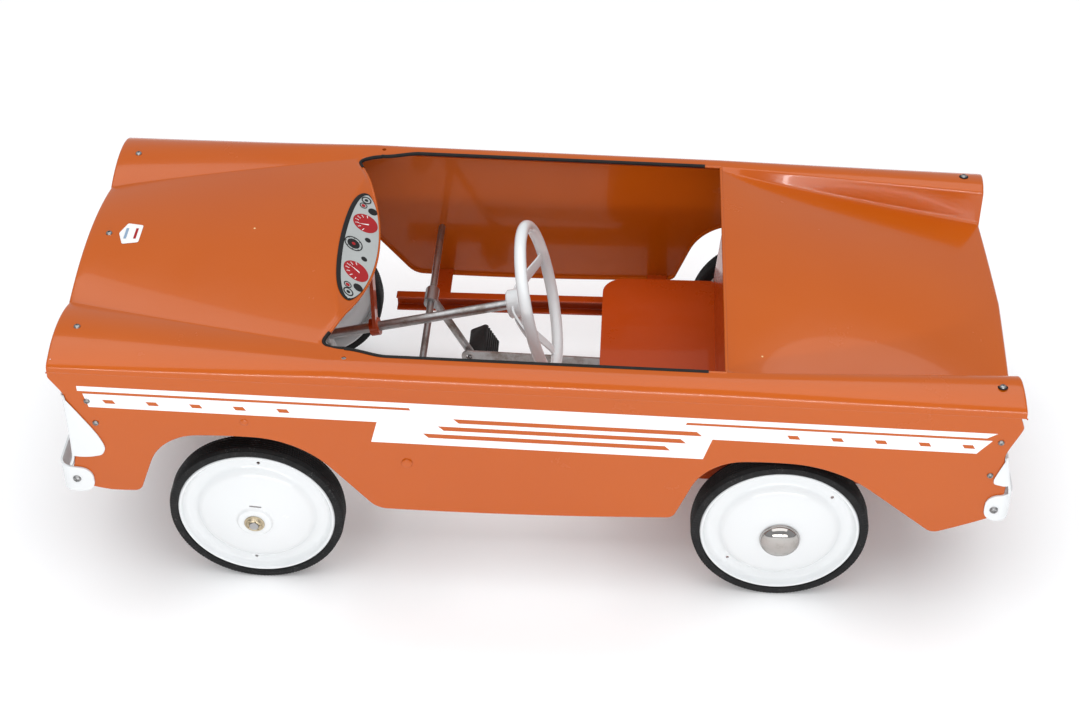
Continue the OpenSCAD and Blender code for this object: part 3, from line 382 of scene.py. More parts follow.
def curve(steps, *points):
    """Catmull-Rom curve through points in millimetres."""
    pts = [Vector(p) for p in in_mm(*points)]
    out = []
    for i, (b, c) in enumerate(zip(pts, pts[1:])):
        a, d = pts[max(i - 1, 0)], pts[min(i + 2, len(pts) - 1)]
        for t in (k / steps for k in range(steps)):
            out.append(0.5 * (2 * b + (c - a) * t + (2 * a - 5 * b + 4 * c - d) * t ** 2
                              + (3 * b - a - 3 * c + d) * t ** 3))
    return [tuple(p) for p in out + pts[-1:]]


def around(count, row_at):
    """One row for each of count even steps of a turn; row_at gets the step and its angle."""
    return [row_at(k, 2 * math.pi * k / count) for k in range(count)]


def remade(obj, *steps):
    """Runs bmesh operations on an object; each step gets the working mesh."""
    work = bmesh.new()
    work.from_mesh(obj.data)
    for step in steps:
        step(work)
    work.to_mesh(obj.data)
    work.free()
    return obj


def slab(name, top, bottom, material):
    """Closed flat piece between two outlines with the same number of points."""
    n = len(top)
    faces = [list(range(n)), list(range(2 * n - 1, n - 1, -1))]
    faces += [[i, n + i, n + (i + 1) % n, (i + 1) % n] for i in range(n)]
    return weld(new_mesh(name, top + bottom, faces, material))


def moved(obj, matrix):
    """Puts a mesh in its place; the object itself stays at the origin."""
    obj.data.transform(matrix)
    obj.data.update()
    return obj


def copy_of(obj, name):
    twin = obj.copy()
    twin.data = obj.data.copy()
    twin.name = name
    twin.data.name = name
    bpy.context.scene.collection.objects.link(twin)
    return twin


def joined(name, parts):
    """One object from several; materials are kept."""
    bpy.ops.object.select_all(action="DESELECT")
    for part in parts:
        part.select_set(True)
    bpy.context.view_layer.objects.active = parts[0]
    if len(parts) > 1:
        bpy.ops.object.join()
    parts[0].name = name
    parts[0].data.name = name
    return parts[0]


def cut(obj, *cutters):
    """Takes closed meshes out of a closed mesh."""
    for cutter in cutters:
        taking = obj.modifiers.new("cut", "BOOLEAN")
        taking.object = cutter
        taking.operation = "DIFFERENCE"
        taking.solver = "EXACT"
    settle(obj, 35)
    for cutter in cutters:
        bpy.data.objects.remove(cutter)
    return obj


def rod_between(name, a, b, radius, material):
    """Closed cylinder from a to b."""
    a, b = Vector(a), Vector(b)
    length = (b - a).length
    obj = revolve(name, [(0, 0), (radius, 0), (radius, length), (0, length)], material, 32)
    turn = (b - a).to_track_quat("Z", "Y").to_matrix().to_4x4()
    return moved(obj, Matrix.Translation(a) @ turn)


def block(name, lower, upper, material):
    """Closed box between two corners, used only as a cutter."""
    (x1, y1, z1), (x2, y2, z2) = lower, upper
    verts = [(x, y, z) for x in (x1, x2) for y in (y1, y2) for z in (z1, z2)]
    faces = [(0, 1, 3, 2), (4, 6, 7, 5), (0, 4, 5, 1), (2, 3, 7, 6), (0, 2, 6, 4), (1, 5, 7, 3)]
    return weld(new_mesh(name, verts, faces, material))


BROKEN_EDGE_ANGLE = 32


def softened(node, width, material, slot, body, segments=2):
    """Stands for a CAD node: the same solids with their edges broken, as a made part has."""
    source = NODES[node]
    obj = bpy.data.objects.new(node + "_finished", source.data.copy())
    bpy.context.scene.collection.objects.link(obj)
    obj.data.materials.clear()
    obj.data.materials.append(material)
    for face in obj.data.polygons:
        face.material_index = 0
    flat = math.radians(0.6)
    remade(obj, lambda work: bmesh.ops.remove_doubles(work, verts=work.verts, dist=2e-6),
           lambda work: bmesh.ops.dissolve_limit(work, angle_limit=flat, verts=work.verts, edges=work.edges),
           lambda work: bmesh.ops.recalc_face_normals(work, faces=work.faces))
    edges = obj.modifiers.new("edges", "BEVEL")
    edges.width = width
    edges.segments = segments
    edges.limit_method = "ANGLE"
    edges.angle_limit = math.radians(BROKEN_EDGE_ANGLE)
    edges.use_clamp_overlap = True
    even = obj.modifiers.new("normals", "WEIGHTED_NORMAL")
    even.weight = 80
    even.keep_sharp = True
    shade(obj.data, BROKEN_EDGE_ANGLE)
    settle(obj)
    return finish_piece(obj, slot, body, node)


def finish_piece(obj, slot, body, *nodes):
    """Puts a piece on its body and hides the CAD nodes it stands for."""
    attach(obj, body)
    if nodes:
        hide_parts(*nodes)
    return obj


def mesh_of(node, distance):
    """Working mesh of a CAD node with its coincident points merged."""
    work = bmesh.new()
    work.from_mesh(NODES[node].data)
    bmesh.ops.remove_doubles(work, verts=work.verts, dist=distance)
    return work


def islands(node):
    """(lowest corner, highest corner) of each separate solid of a CAD node."""
    work = mesh_of(node, 1e-6)
    left, found = set(work.verts), []
    while left:
        start = left.pop()
        group, edge = [start], [start]
        while edge:
            for link in edge.pop().link_edges:
                for vert in link.verts:
                    if vert in left:
                        left.remove(vert)
                        group.append(vert)
                        edge.append(vert)
        found.append((Vector(min(v.co[k] for v in group) for k in range(3)),
                      Vector(max(v.co[k] for v in group) for k in range(3))))
    work.free()
    return sorted(found, key=lambda pair: tuple(round(c, 4) for c in pair[0]))


def face_outline(node, axis, value):
    """Ordered rim of the flat face of a CAD node that lies at value along an axis."""
    work = mesh_of(node, 2e-6)
    flat = {f for f in work.faces if all(abs(v.co[axis] - value) < 2e-5 for v in f.verts)}
    rim = [e for e in work.edges if sum(f in flat for f in e.link_faces) == 1]
    nearby = {}
    for e in rim:
        a, b = e.verts
        nearby.setdefault(a, []).append(b)
        nearby.setdefault(b, []).append(a)
    loops, used = [], set()
    for start in nearby:
        if start in used:
            continue
        loop, here, last = [], start, None
        while here not in used:
            used.add(here)
            loop.append(here.co.copy())
            ahead = [v for v in nearby[here] if v is not last]
            last, here = here, ahead[0]
        loops.append(loop)
    work.free()
    return max(loops, key=len)


SHARP_TURN = 22


def even_outline(loop, step):
    """The same outline with its round stretches filled in between the CAD model's short chords."""
    n = len(loop)
    straight = [(loop[(i + 1) % n] - loop[i]) for i in range(n)]

    def turn(i):
        return math.degrees(straight[i - 1].angle(straight[i % n]))

    def tangent(i, side):
        if turn(i) < SHARP_TURN:
            return (straight[i - 1].normalized() + straight[i % n].normalized()).normalized()
        return straight[i - 1 if side < 0 else i % n].normalized()

    out = []
    for i in range(n):
        a, b, length = loop[i], loop[(i + 1) % n], straight[i].length
        t1, t2 = tangent(i, 1) * length, tangent((i + 1) % n, -1) * length
        bent = t1.angle(t2) > math.radians(0.5)
        pieces = max(1, round(length / step)) if bent else 1
        for k in range(pieces):
            s = k / pieces
            out.append(a * (2 * s ** 3 - 3 * s ** 2 + 1) + t1 * (s ** 3 - 2 * s ** 2 + s)
                       + b * (3 * s ** 2 - 2 * s ** 3) + t2 * (s ** 3 - s ** 2))
    return out


def pressed_plate(name, outline, across, inward, radius, flange, thickness, material):
    """Sheet cut to an outline and turned inward along its rim by a rounded bend."""
    n = len(outline)
    loop = outline[::-1] if area_of(outline, across) < 0 else outline

    def outward(i):
        before = (loop[i] - loop[i - 1]).normalized().cross(across)
        after = (loop[(i + 1) % n] - loop[i]).normalized().cross(across)
        mean = (before + after).normalized()
        return mean * min(1 / max(0.5, mean.dot(before)), 1.5)

    rims = [outward(i) for i in range(n)]
    steps = 5
    stages = [(-radius - 0.6 * MM, 0.0)]
    for k in range(steps + 1):
        angle = math.pi / 2 * k / steps
        stages.append((radius * (math.sin(angle) - 1), radius * (1 - math.cos(angle))))
    stages += [(0.0, flange), (-thickness, flange), (-thickness, thickness + 0.3 * MM),
               (-max(radius, thickness) - 0.3 * MM, thickness), (-max(radius, thickness) - MM, thickness)]
    verts = [p + rims[i] * out + inward * depth for out, depth in stages for i, p in enumerate(loop)]
    last = (len(stages) - 1) * n
    faces = [list(range(n)), list(range(last + n - 1, last - 1, -1))]
    for r in range(len(stages) - 1):
        near, far = r * n, (r + 1) * n
        faces += [[near + i, far + i, far + (i + 1) % n, near + (i + 1) % n] for i in range(n)]
    return weld(new_mesh(name, verts, faces, material, 50), 1e-7)


def area_of(loop, across):
    total = Vector((0, 0, 0))
    for i, p in enumerate(loop):
        total += p.cross(loop[(i + 1) % len(loop)])
    return total.dot(across) / 2


# ---------- top pressing ----------

SHEET = 1.2 * MM
NOSE_X, TAIL_X = high("body_top").x, low("body_top").x
HALF_W = high("side_panel_left").y
COCKPIT_REAR_X = low("seat_pan").x - 2 * MM
COCKPIT_FRONT_X = 206 * MM
COCKPIT_HALF = 182 * MM
CREASE_RISE = 0.022
CORNER_X, CORNER_Y, CORNER_WIDE = 192 * MM, 172 * MM, 17 * MM
FENDER_H = 18 * MM
CREST, EDGE = 0.46, 0.65
LAST_BONNET_X = 232 * MM
DASH_SLOPE = 0.6
LIP = 10 * MM
EDGE_R = 3 * MM
SEAM = 0.4 * MM
CREASE_MID = high("side_panel_left").z + SEAM - CREASE_RISE * NOSE_X


def crease_at(x):
    """Height of the crease where the top pressing meets the sides."""
    return CREASE_MID + CREASE_RISE * x


def roll(t):
    """Share of the fender's height reached at column position t."""
    return math.sin(min(t / CREST, 1) * math.pi / 2) ** 0.45


def bonnet_share(x):
    """0 at the nose, 1 at the cockpit."""
    return clamp01((NOSE_X - x) / (NOSE_X - COCKPIT_FRONT_X))


def valley_y(x):
    """How far out the valley between bonnet and fender lies."""
    return mix(104, 170, bonnet_share(x) ** 0.9) * MM


def bonnet_point(x, t, w):
    """Point of the front surface: t runs from the side to the valley, then w from there to the middle."""
    share = bonnet_share(x)
    valley_h = FENDER_H * mix(0.36, 1, share ** 0.8)
    if w == 0:
        fall = (max(t - CREST, 0) / (1 - CREST)) ** 2
        return Vector((x, mix(HALF_W, valley_y(x), t),
                       crease_at(x) + roll(t) * mix(FENDER_H, valley_h, fall)))
    crown = mix(20, 29, share) * MM
    return Vector((x, valley_y(x) * (1 - w), crease_at(x) + mix(valley_h, crown, 1 - (1 - w) ** 2)))


def deck_share(x):
    """0 at the cockpit, 1 at the tail."""
    return clamp01((COCKPIT_REAR_X - x) / (COCKPIT_REAR_X - TAIL_X))


def deck_point(x, t, w):
    """Point of the rear surface: t runs over the fin to its foot, then w from there to the middle."""
    share = deck_share(x)

    def fin_z(t):
        droop = 4 * MM * (max(t - CREST, 0) / (EDGE - CREST)) ** 2 * share
        return crease_at(x) + roll(t) * (FENDER_H - droop)

    inner = Vector((x, mix(COCKPIT_HALF, 160 * MM, share), fin_z(EDGE)))
    foot = Vector((x, mix(COCKPIT_HALF - 5 * MM, 150 * MM, share),
                   crease_at(x) + FENDER_H - 1 * MM - 42 * MM * share ** 0.75))
    if w > 0:
        crown = mix(306, 258, share ** 1.9) * MM
        return Vector((x, foot.y * (1 - w), mix(foot.z, crown, 1 - (1 - w) ** 2)))
    if t <= EDGE:
        return Vector((x, mix(HALF_W, inner.y, t / EDGE), fin_z(t)))
    return inner.lerp(foot, (t - EDGE) / (1 - EDGE))


def dash_x(y):
    """Curved free edge of the dash."""
    return 178.7 * MM + 1.475 * y * y


def ridge_x(y):
    """Where the bonnet breaks into the dash slope."""
    return max(218 * MM - 0.9 * y * y, dash_x(y) + 4 * MM)


def tucked(t, amount=1.0):
    """Column position drawn in toward the valley at the cockpit's front corners."""
    if t <= EDGE:
        return t + 0.27 * amount * (t / EDGE) ** 2
    return mix(EDGE + 0.27 * amount, 1, (t - EDGE) / (1 - EDGE))


def corner_reach(y):
    """How far the cockpit's front corner has turned from the side edge into the dash."""
    return math.sqrt(1 - (1 - clamp01((CORNER_Y - y) / CORNER_WIDE)) ** 2)


def ridge_point(t, w):
    side_x = COCKPIT_FRONT_X + 4 * MM
    if w == 0:
        t = tucked(t)
    y = bonnet_point(COCKPIT_FRONT_X, t, w).y
    return bonnet_point(mix(side_x, ridge_x(y), corner_reach(y)), t, w)


def dash_point(t, w):
    if w == 0:
        side_x = mix(COCKPIT_FRONT_X, CORNER_X, min(t / EDGE, 1))
        t = tucked(t)
    else:
        side_x = CORNER_X
    top = bonnet_point(COCKPIT_FRONT_X, t, w)
    reach = corner_reach(top.y)
    return Vector((mix(side_x, dash_x(top.y), reach), top.y,
                   top.z - DASH_SLOPE * max(ridge_x(top.y) - dash_x(top.y), 0) * reach))


def cockpit_point(k, t):
    start = dash_point(t, 0)
    x = mix(start.x, COCKPIT_REAR_X, k)
    tuck = 1 - smoothstep((start.x - x) / (44 * MM))
    t = tucked(t, tuck)
    y = mix(mix(HALF_W, COCKPIT_HALF, t / EDGE), mix(HALF_W, valley_y(COCKPIT_FRONT_X), t), tuck)
    return Vector((x, y, crease_at(x) + roll(t) * FENDER_H))


BEADS = [(-0.1, -2.8), (0.35, -1.9), (0.45, -1.0)]
COLUMNS = ([(0.0, 0.0, bead) for bead in BEADS]
           + [(t, 0.0, None) for t in spaced(0, CREST, 14, 2.0) + spaced(CREST, 0.63, 5)
              + [0.63, 0.642, EDGE, 0.656, 0.67, 0.69, 0.72, 0.76, 0.8, 0.84, 0.88, 0.92, 0.95, 0.97,
                 0.985, 1.0]]
           + [(1.0, w, None) for w in (0.012, 0.022, 0.034, 0.047, 0.062, 0.08, 0.1, 0.13, 0.16, 0.23, 0.31,
                                       0.4, 0.49, 0.58, 0.67, 0.76, 0.84, 0.9, 0.95, 0.98, 1.0)])
EDGE_COLUMN = [t for t, w, bead in COLUMNS].index(EDGE)
FOOT_COLUMN = [(t, w) for t, w, bead in COLUMNS].index((1.0, 0.0))


def half_row(place):
    """One row of the left half; the first columns are the bead under the side edge."""
    row = []
    for t, w, bead in COLUMNS:
        point = place(t, w)
        if point is not None and bead is not None:
            point = point + Vector((0, bead[0] * MM, bead[1] * MM))
        row.append(point)
    return row


def eased(row, at, passes, amount=1.0):
    """Rounds the fold at a column of a half row."""
    for _ in range(passes):
        old = [p.copy() for p in row]
        for j in range(at - 4, at + 5):
            if 0 < j < len(row) - 1:
                mean = (old[j - 1] + old[j] * 2 + old[j + 1]) / 4
                row[j] = old[j].lerp(mean, amount)
    return row


def turned_edge(surface, edge_x, into):
    """Rows from a surface round a small bend and down a lip; into points back over the surface."""
    rows = []
    for back, drop in [(0.0, LIP), (0.0, LIP * 0.6)] + [
            (EDGE_R * (1 - math.sin(a)), EDGE_R * (1 - math.cos(a)))
            for a in (math.radians(d) for d in (90, 72, 54, 36, 18, 0))]:
        def place(t, w, back=back, drop=drop):
            fade = mix(0.12, 1.0, smoothstep(8 * t + w))
            return surface(edge_x(t, w) + into * back, t, w) - Vector((0, 0, drop * fade))
        rows.append(half_row(place))
    return rows


def deck_x(t, w, k):
    return mix(COCKPIT_REAR_X, TAIL_X + 5 * MM * t * (1 - w), k)


def top_rows():
    """Rows from nose to tail, with the numbers of the first and last rows beside the cockpit."""
    rows = turned_edge(bonnet_point, lambda t, w: NOSE_X, -1)
    for x in spaced(NOSE_X - EDGE_R, LAST_BONNET_X, 30)[1:]:
        rows.append(half_row(lambda t, w: bonnet_point(x, t, w)))
    for k in (0.0, 0.4, 0.7, 0.86, 0.95, 1.0):
        rows.append(half_row(lambda t, w: bonnet_point(mix(LAST_BONNET_X, ridge_point(t, w).x, k), t, w)))
    ridge = len(rows) - 1
    for k in (0.06, 0.14, 0.3, 0.5, 0.7, 0.86, 1.0):
        rows.append(half_row(lambda t, w: ridge_point(t, w).lerp(dash_point(t, w), k)))
    for _ in range(3):
        before = [list(row) for row in rows]
        for i in (ridge - 1, ridge, ridge + 1):
            for j in range(EDGE_COLUMN + 2, len(COLUMNS)):
                rows[i][j] = (before[i - 1][j] + before[i][j] * 2 + before[i + 1][j]) / 4
    dash = len(rows) - 1
    for k in [n * 0.0125 for n in range(1, 12)] + spaced(0.15, 1, 18):
        rows.append(half_row(lambda t, w: cockpit_point(k, t) if w == 0 and t <= EDGE else None))
    rear = len(rows)
    for k in [0, 0.012, 0.03] + spaced(0.06, 1, 28) + [1 - EDGE_R / (COCKPIT_REAR_X - TAIL_X)]:
        row = half_row(lambda t, w: deck_point(deck_x(t, w, k), t, w))
        fold = smoothstep(k * 10)
        rows.append(eased(eased(row, EDGE_COLUMN, 5, fold), FOOT_COLUMN, 3, fold))
    tail = turned_edge(deck_point, lambda t, w: deck_x(t, w, 1), 1)
    for row in reversed(tail[:-1]):
        rows.append(eased(eased(row, EDGE_COLUMN, 5), FOOT_COLUMN, 3))
    return rows, dash, rear


def across(point):
    """The same point on the car's other side."""
    return None if point is None else Vector((point.x, -point.y, point.z))


def mirrored(half):
    """Full row from a half row that ends on the centre plane."""
    return half + [across(p) for p in reversed(half[:-1])]


def body_top():
    """Top pressing with its windscreen holes, and the rolled edge round the cockpit."""
    rows, dash, rear = top_rows()
    skin = grid("body_top_pressing", [mirrored(row) for row in rows], ORANGE, sharp_angle=48)
    if sum(face.normal.z * face.area for face in skin.data.polygons) < 0:
        skin.data.flip_normals()
    thicken(skin, SHEET, 48)
    mount = next(m for m in RECORD["mounts"] if m["name"] == "windscreen_holes")
    x, _, z = mount["pos_m"]
    half_gap = mount["dims"]["spacing_y_mm"] * MM / 2
    radius = mount["dims"]["hole_r_mm"] * MM
    cut(skin, *[rod_between("hole", (x, s * half_gap, z - 0.02), (x, s * half_gap, z + 0.02), radius, ORANGE)
                for s in (-1, 1)])
    shade(skin.data, 48)
    finish_piece(skin, "body_paint", "car_body", "body_top")

    side = [rows[i][EDGE_COLUMN] for i in range(rear, dash - 1, -1)]
    front = [rows[dash][j] for j in range(EDGE_COLUMN + 1, len(COLUMNS))]
    left_side = side + front
    whole = mirrored(left_side)
    rear_edge = [across(p) for p in rows[rear][EDGE_COLUMN + 1:-1]] + rows[rear][:EDGE_COLUMN:-1]
    down = Vector((0, 0, -0.9 * MM))
    rim = tube("cockpit_rolled_edge", [p + down for p in whole + rear_edge], 1.7 * MM, ORANGE, closed=True)
    finish_piece(rim, "body_paint", "car_body")
    return rows, dash


# ---------- dash cluster ----------

INK = 0.2 * MM
LABEL_END = 9 * MM


def on_dash(y, k, rise):
    """Point on the sloping dash: y across, k from the ridge (0) to the free edge (1), raised by rise."""
    w = max(1 - abs(y) / valley_y(COCKPIT_FRONT_X), 0.0)
    upper, lower = ridge_point(1, w), dash_point(1, w)
    upper.y = lower.y = y
    normal = Vector((-DASH_SLOPE, 0, 1)).normalized()
    return upper.lerp(lower, k) + normal * rise


def dash_depth(y):
    """Length of the slope from ridge to free edge at y."""
    return (on_dash(y, 0, 0) - on_dash(y, 1, 0)).length


def dash_patch(outline, rise, material):
    """Flat marking on the dash from an outline of (y, distance below the ridge)."""
    top = [on_dash(y, d / dash_depth(y), rise + INK) for y, d in outline]
    bottom = [on_dash(y, d / dash_depth(y), rise) for y, d in outline]
    return slab("dial_mark", top, bottom, material)


def dash_disc(y, depth, radius, rise, material):
    """Round marking on the dash; its place and radius are in millimetres."""
    ring = around(40, lambda k, a: (y + radius * math.cos(a), depth - radius * math.sin(a)))
    return dash_patch(in_mm(*ring), rise, material)


def dash_ring(y, depth, radius, width, rise, material):
    """Ring on the dash; its place and size are in millimetres."""
    section = ((radius, 0), (radius, INK), (radius - width, INK), (radius - width, 0))

    def row(k, a):
        across = [(y + r * math.cos(a)) * MM for r, lift in section]
        return [on_dash(v, (depth - r * math.sin(a)) * MM / dash_depth(v), rise + lift)
                for v, (r, lift) in zip(across, section)]

    return weld(grid("dial_rim", around(48, row), material, wrap_rows=True, wrap_cols=True))


def dash_band(end, inset, rise, film, material):
    """Strip across the dash whose ends close in round curves at the given distance from the centre."""
    reach = high("dash_label").y - LABEL_END
    rows = []
    for y in (reach * math.sin(mix(-1, 1, k / 90) * math.pi / 2) for k in range(91)):
        depth = dash_depth(y)
        taper = math.sqrt(max(0.0, 1 - (abs(y) / end) ** 9)) if abs(y) < end else 0.0
        rows.append([on_dash(y, clamp01(mix(depth * 0.6, side, taper) / depth), rise)
                     for side in (inset, depth - 1 * MM)])
    strip = grid("dash_band", rows, material)
    if strip.data.polygons[0].normal.z < 0:
        strip.data.flip_normals()
    return thicken(strip, film)


def dash_cluster():
    """Grey band with a black border, two red dials and small round marks; no figures or words."""
    reach = high("dash_label").y - LABEL_END
    base, film = 0.7 * MM, 0.25 * MM
    parts = [dash_band(reach, 0.0, base, film, LABEL_BLACK),
             dash_band(reach - 3.5 * MM, 5.2 * MM, base + film, film, LABEL_GREY)]
    face = base + 2 * film
    top = face + INK
    for side in (-1, 1):
        dial_y, dial_depth = side * 43, 27
        parts += [dash_disc(dial_y, dial_depth - 4, 15, face, LABEL_RED),
                  dash_ring(side * 71, 13.5, 4.6, 1, top, LABEL_BLACK),
                  dash_disc(side * 71, 13.5, 2.4, face, LABEL_RED),
                  dash_disc(side * 68, 26, 5.6, face, LABEL_BLACK),
                  dash_ring(side * 82, 14, 6, 1.4, top, LABEL_BLACK),
                  dash_disc(side * 82, 14, 2.2, face, LABEL_BLACK),
                  dash_disc(side * 17, 31, 3.6, face, LABEL_BLACK)]
        for angle in (math.radians(mix(18, 162, k / 6)) for k in range(7)):
            parts += [dash_disc(dial_y + r * math.cos(angle), dial_depth - r * 1.15 * math.sin(angle),
                                0.55, top, LABEL_WHITE) for r in (11.2, 12.6, 14)]
        needle = math.radians(118 if side > 0 else 62)
        tip = (dial_y + 12 * math.cos(needle), dial_depth - 13 * math.sin(needle))
        pointer = in_mm((dial_y - 1, dial_depth), tip, (dial_y + 1, dial_depth))
        parts.append(dash_patch(pointer, top, LABEL_WHITE))
    parts += [dash_ring(0, 16, 11, 1.2, top, LABEL_BLACK), dash_disc(0, 16, 7.5, face, LABEL_BLACK),
              dash_disc(0, 16, 2.2, top, LABEL_RED)]
    parts += around(8, lambda k, a: dash_disc(9 * math.cos(a), 16 - 9 * math.sin(a), 0.5, top, LABEL_BLACK))
    finish_piece(joined("dash_instruments", parts), "label_grey", "car_body", "dash_label")


def nose_label():
    """Plain five-sided sticker with two coloured bars and no marks."""
    centre = middle("nose_label")
    lengthwise = (high("nose_label").x - low("nose_label").x) / 2
    half = (high("nose_label").y - low("nose_label").y) * 0.84

    def sticker(name, outline, rise, material):
        lifted = [bonnet_surface(centre.x + x, centre.y + y) + Vector((0, 0, rise)) for x, y in outline]
        lower = [p - Vector((0, 0, 0.3 * MM)) for p in lifted]
        return slab(name, lifted, lower, material)

    corners = [(lengthwise, 0), (lengthwise * 0.45, half), (-lengthwise, half * 0.82),
               (-lengthwise, -half * 0.82), (lengthwise * 0.45, -half)]
    parts = [sticker("sticker", round_corners(corners, 2 * MM), 0.6 * MM, LABEL_WHITE)]
    for place, ink in ((0.34, LABEL_BLUE), (-0.55, LABEL_RED)):
        bar = [(lengthwise * place + dx * 1.4 * MM, dy * half * 0.5)
               for dx, dy in ((1, 1), (-1, 1), (-1, -1), (1, -1))]
        parts.append(sticker("sticker_bar", bar, 0.75 * MM, ink))
    finish_piece(joined("nose_sticker", parts), "flash_white", "car_body", "nose_label")


def bonnet_surface(x, y):
    """Point of the bonnet between its valleys above (x, y)."""
    w = 1 - abs(y) / valley_y(x)
    return Vector((x, y, bonnet_point(x, 1, max(w, 0.0001)).z))


def round_corners(corners, radius):
    """Outline with each corner replaced by a short arc-like curve."""
    out, n = [], len(corners)
    for i, b in enumerate(corners):
        a, c, b = Vector(corners[i - 1]), Vector(corners[(i + 1) % n]), Vector(b)
        start, end = b + (a - b).normalized() * radius, b + (c - b).normalized() * radius
        for s in (k / 5 for k in range(6)):
            out.append(tuple(start * (1 - s) ** 2 + b * 2 * s * (1 - s) + end * s ** 2))
    return out


# ---------- side panels, ends and bumpers ----------

def side_panels():
    """Side panels pressed from the outlines of the CAD panels."""
    for node, side in (("side_panel_left", 1), ("side_panel_right", -1)):
        face_y = side * HALF_W
        outline = even_outline(face_outline(node, 1, face_y), 4 * MM)
        across = Vector((0, side, 0))
        panel = pressed_plate(node + "_pressing", outline, across, -across, 1.4 * MM, 5.5 * MM, SHEET, ORANGE)
        finish_piece(panel, "body_paint", "car_body", node)


def profile_x(*points):
    """Smooth x for any z through (x, z) points in millimetres."""
    line = sorted(curve(10, *points), key=lambda p: p[1])

    def x_at(z):
        for a, b in zip(line, line[1:]):
            if a[1] <= z <= b[1]:
                return mix(a[0], b[0], (z - a[1]) / max(b[1] - a[1], 1e-9))
        return line[0][0] if z < line[0][1] else line[-1][0]
    return x_at


def raised(distance, half, edge, height):
    """Height of a rounded rib at a distance from its centre line."""
    return height * smoothstep((half + edge - abs(distance)) / edge)


def rib_height(y, z, middles, half_length, height):
    """Height of a row of level ribs with round ends."""
    beyond = max(abs(y) - half_length, 0)
    return max(raised(math.hypot(beyond, z - m), 1.2 * MM, 3.2 * MM, height) for m in middles)


def end_sheet(name, facing, front, fold, ear_low, ear_high, ear_length, relief, top_at, material):
    """Pressed end panel in one sheet: the middle bulges out from the folds, and each fold
    carries an ear that lies on the body side. Places are worked out as if it faced forward."""
    z_low, z_high = 170 * MM, 315 * MM
    rows_n, half_n, ear_n, bend = 145, 100, 16, 3 * MM
    out_w, narrow_w = HALF_W + 1.5 * MM, HALF_W - 4 * MM
    rows = []
    for i in range(rows_n + 1):
        z = mix(z_low, z_high, i / rows_n)
        wide = z <= ear_high
        half = out_w if wide else narrow_w
        row = []
        for j in range(half_n + 1):
            y = (half - bend) * j / half_n
            bulge = 1 - smoothstep((y - (half - 60 * MM)) / (57 * MM))
            x = mix(fold(z), front(z), bulge) + relief(y, z)
            row.append(Vector((x, y, z)) if z <= top_at(y) else None)
        for d in (18, 36, 54, 72, 90):
            a = math.radians(d)
            place = Vector((fold(z) - bend * (1 - math.cos(a)), half - bend + bend * math.sin(a), z))
            row.append(place if wide else None)
        for k in range(1, ear_n + 1):
            reach = ear_length(z) * k / ear_n
            belly = 0.8 * MM * math.sin(math.pi * k / ear_n)
            on_side = wide and ear_low <= z
            row.append(Vector((fold(z) - bend - reach, half + belly, z)) if on_side else None)
        left = [None if p is None else Vector((p.x * facing, p.y, p.z)) for p in row]
        right = [across(p) for p in left]
        rows.append(right[:0:-1] + left)
    sheet = grid(name, rows, material, sharp_angle=50)
    near = min(sheet.data.polygons, key=lambda f: (f.center - Vector((facing * front(z_low), 0, 0.2))).length)
    if near.normal.x * facing < 0:
        sheet.data.flip_normals()
    return thicken(sheet, 1.1 * MM, 50)


EAR_TIP_Z, TAIL_EAR_Z = 268 * MM, 222 * MM
LAMP_FLAT = ((484 * MM, 262 * MM), (489 * MM, 200 * MM))
TAIL_FLAT = ((487.3 * MM, 236 * MM), (495 * MM, 193 * MM))


def flat_x(flat, z):
    (x_high, z_high), (x_low, z_low) = flat
    return mix(x_high, x_low, (z_high - z) / (z_high - z_low))


def flat_lean(flat):
    (x_high, z_high), (x_low, z_low) = flat
    return math.atan2(x_low - x_high, z_high - z_low)


def grille():
    """White front panel with five pressed ribs between the lamps."""
    lip = ((484.5, 268), (490.5, 304))
    front = profile_x((499, 170), (495, 180), (489, 200), (486.5, 231), (484, 262), *lip)
    fold = profile_x((490, 170), (486, 182), (484.5, 210), (484, 250), *lip)
    back = profile_x((463, 184), (453, 187), (448.6, 194), (448.4, 200), (451.5, 210), (458, 224), (483, 268))
    lamps = [(a + b) / 2 for a, b in islands("headlamps")]
    lamp_y, lamp_z = abs(lamps[0].y), lamps[0].z

    def relief(y, z):
        ribs = rib_height(y, z, [(252 - 13 * n) * MM for n in range(5)], 93 * MM, 3.4 * MM)
        ring = abs(math.hypot(abs(y) - lamp_y, z - lamp_z) - 36 * MM)
        return max(ribs, raised(ring, 0.8 * MM, 3.0 * MM, 1.4 * MM))

    tops = {}

    def top_at(y):
        if y not in tops:
            tops[y] = max(303 * MM, min(bonnet_top_at(490 * MM, min(y, 190 * MM)).z - 4 * MM, 314 * MM))
        return tops[y]

    sheet = end_sheet("grille_pressing", 1, front, fold, 184 * MM, EAR_TIP_Z,
                      lambda z: max(fold(z) - 3 * MM - back(z), 0.5 * MM), relief, top_at, WHITE)
    finish_piece(sheet, "white_enamel", "car_body", "grille_panel")


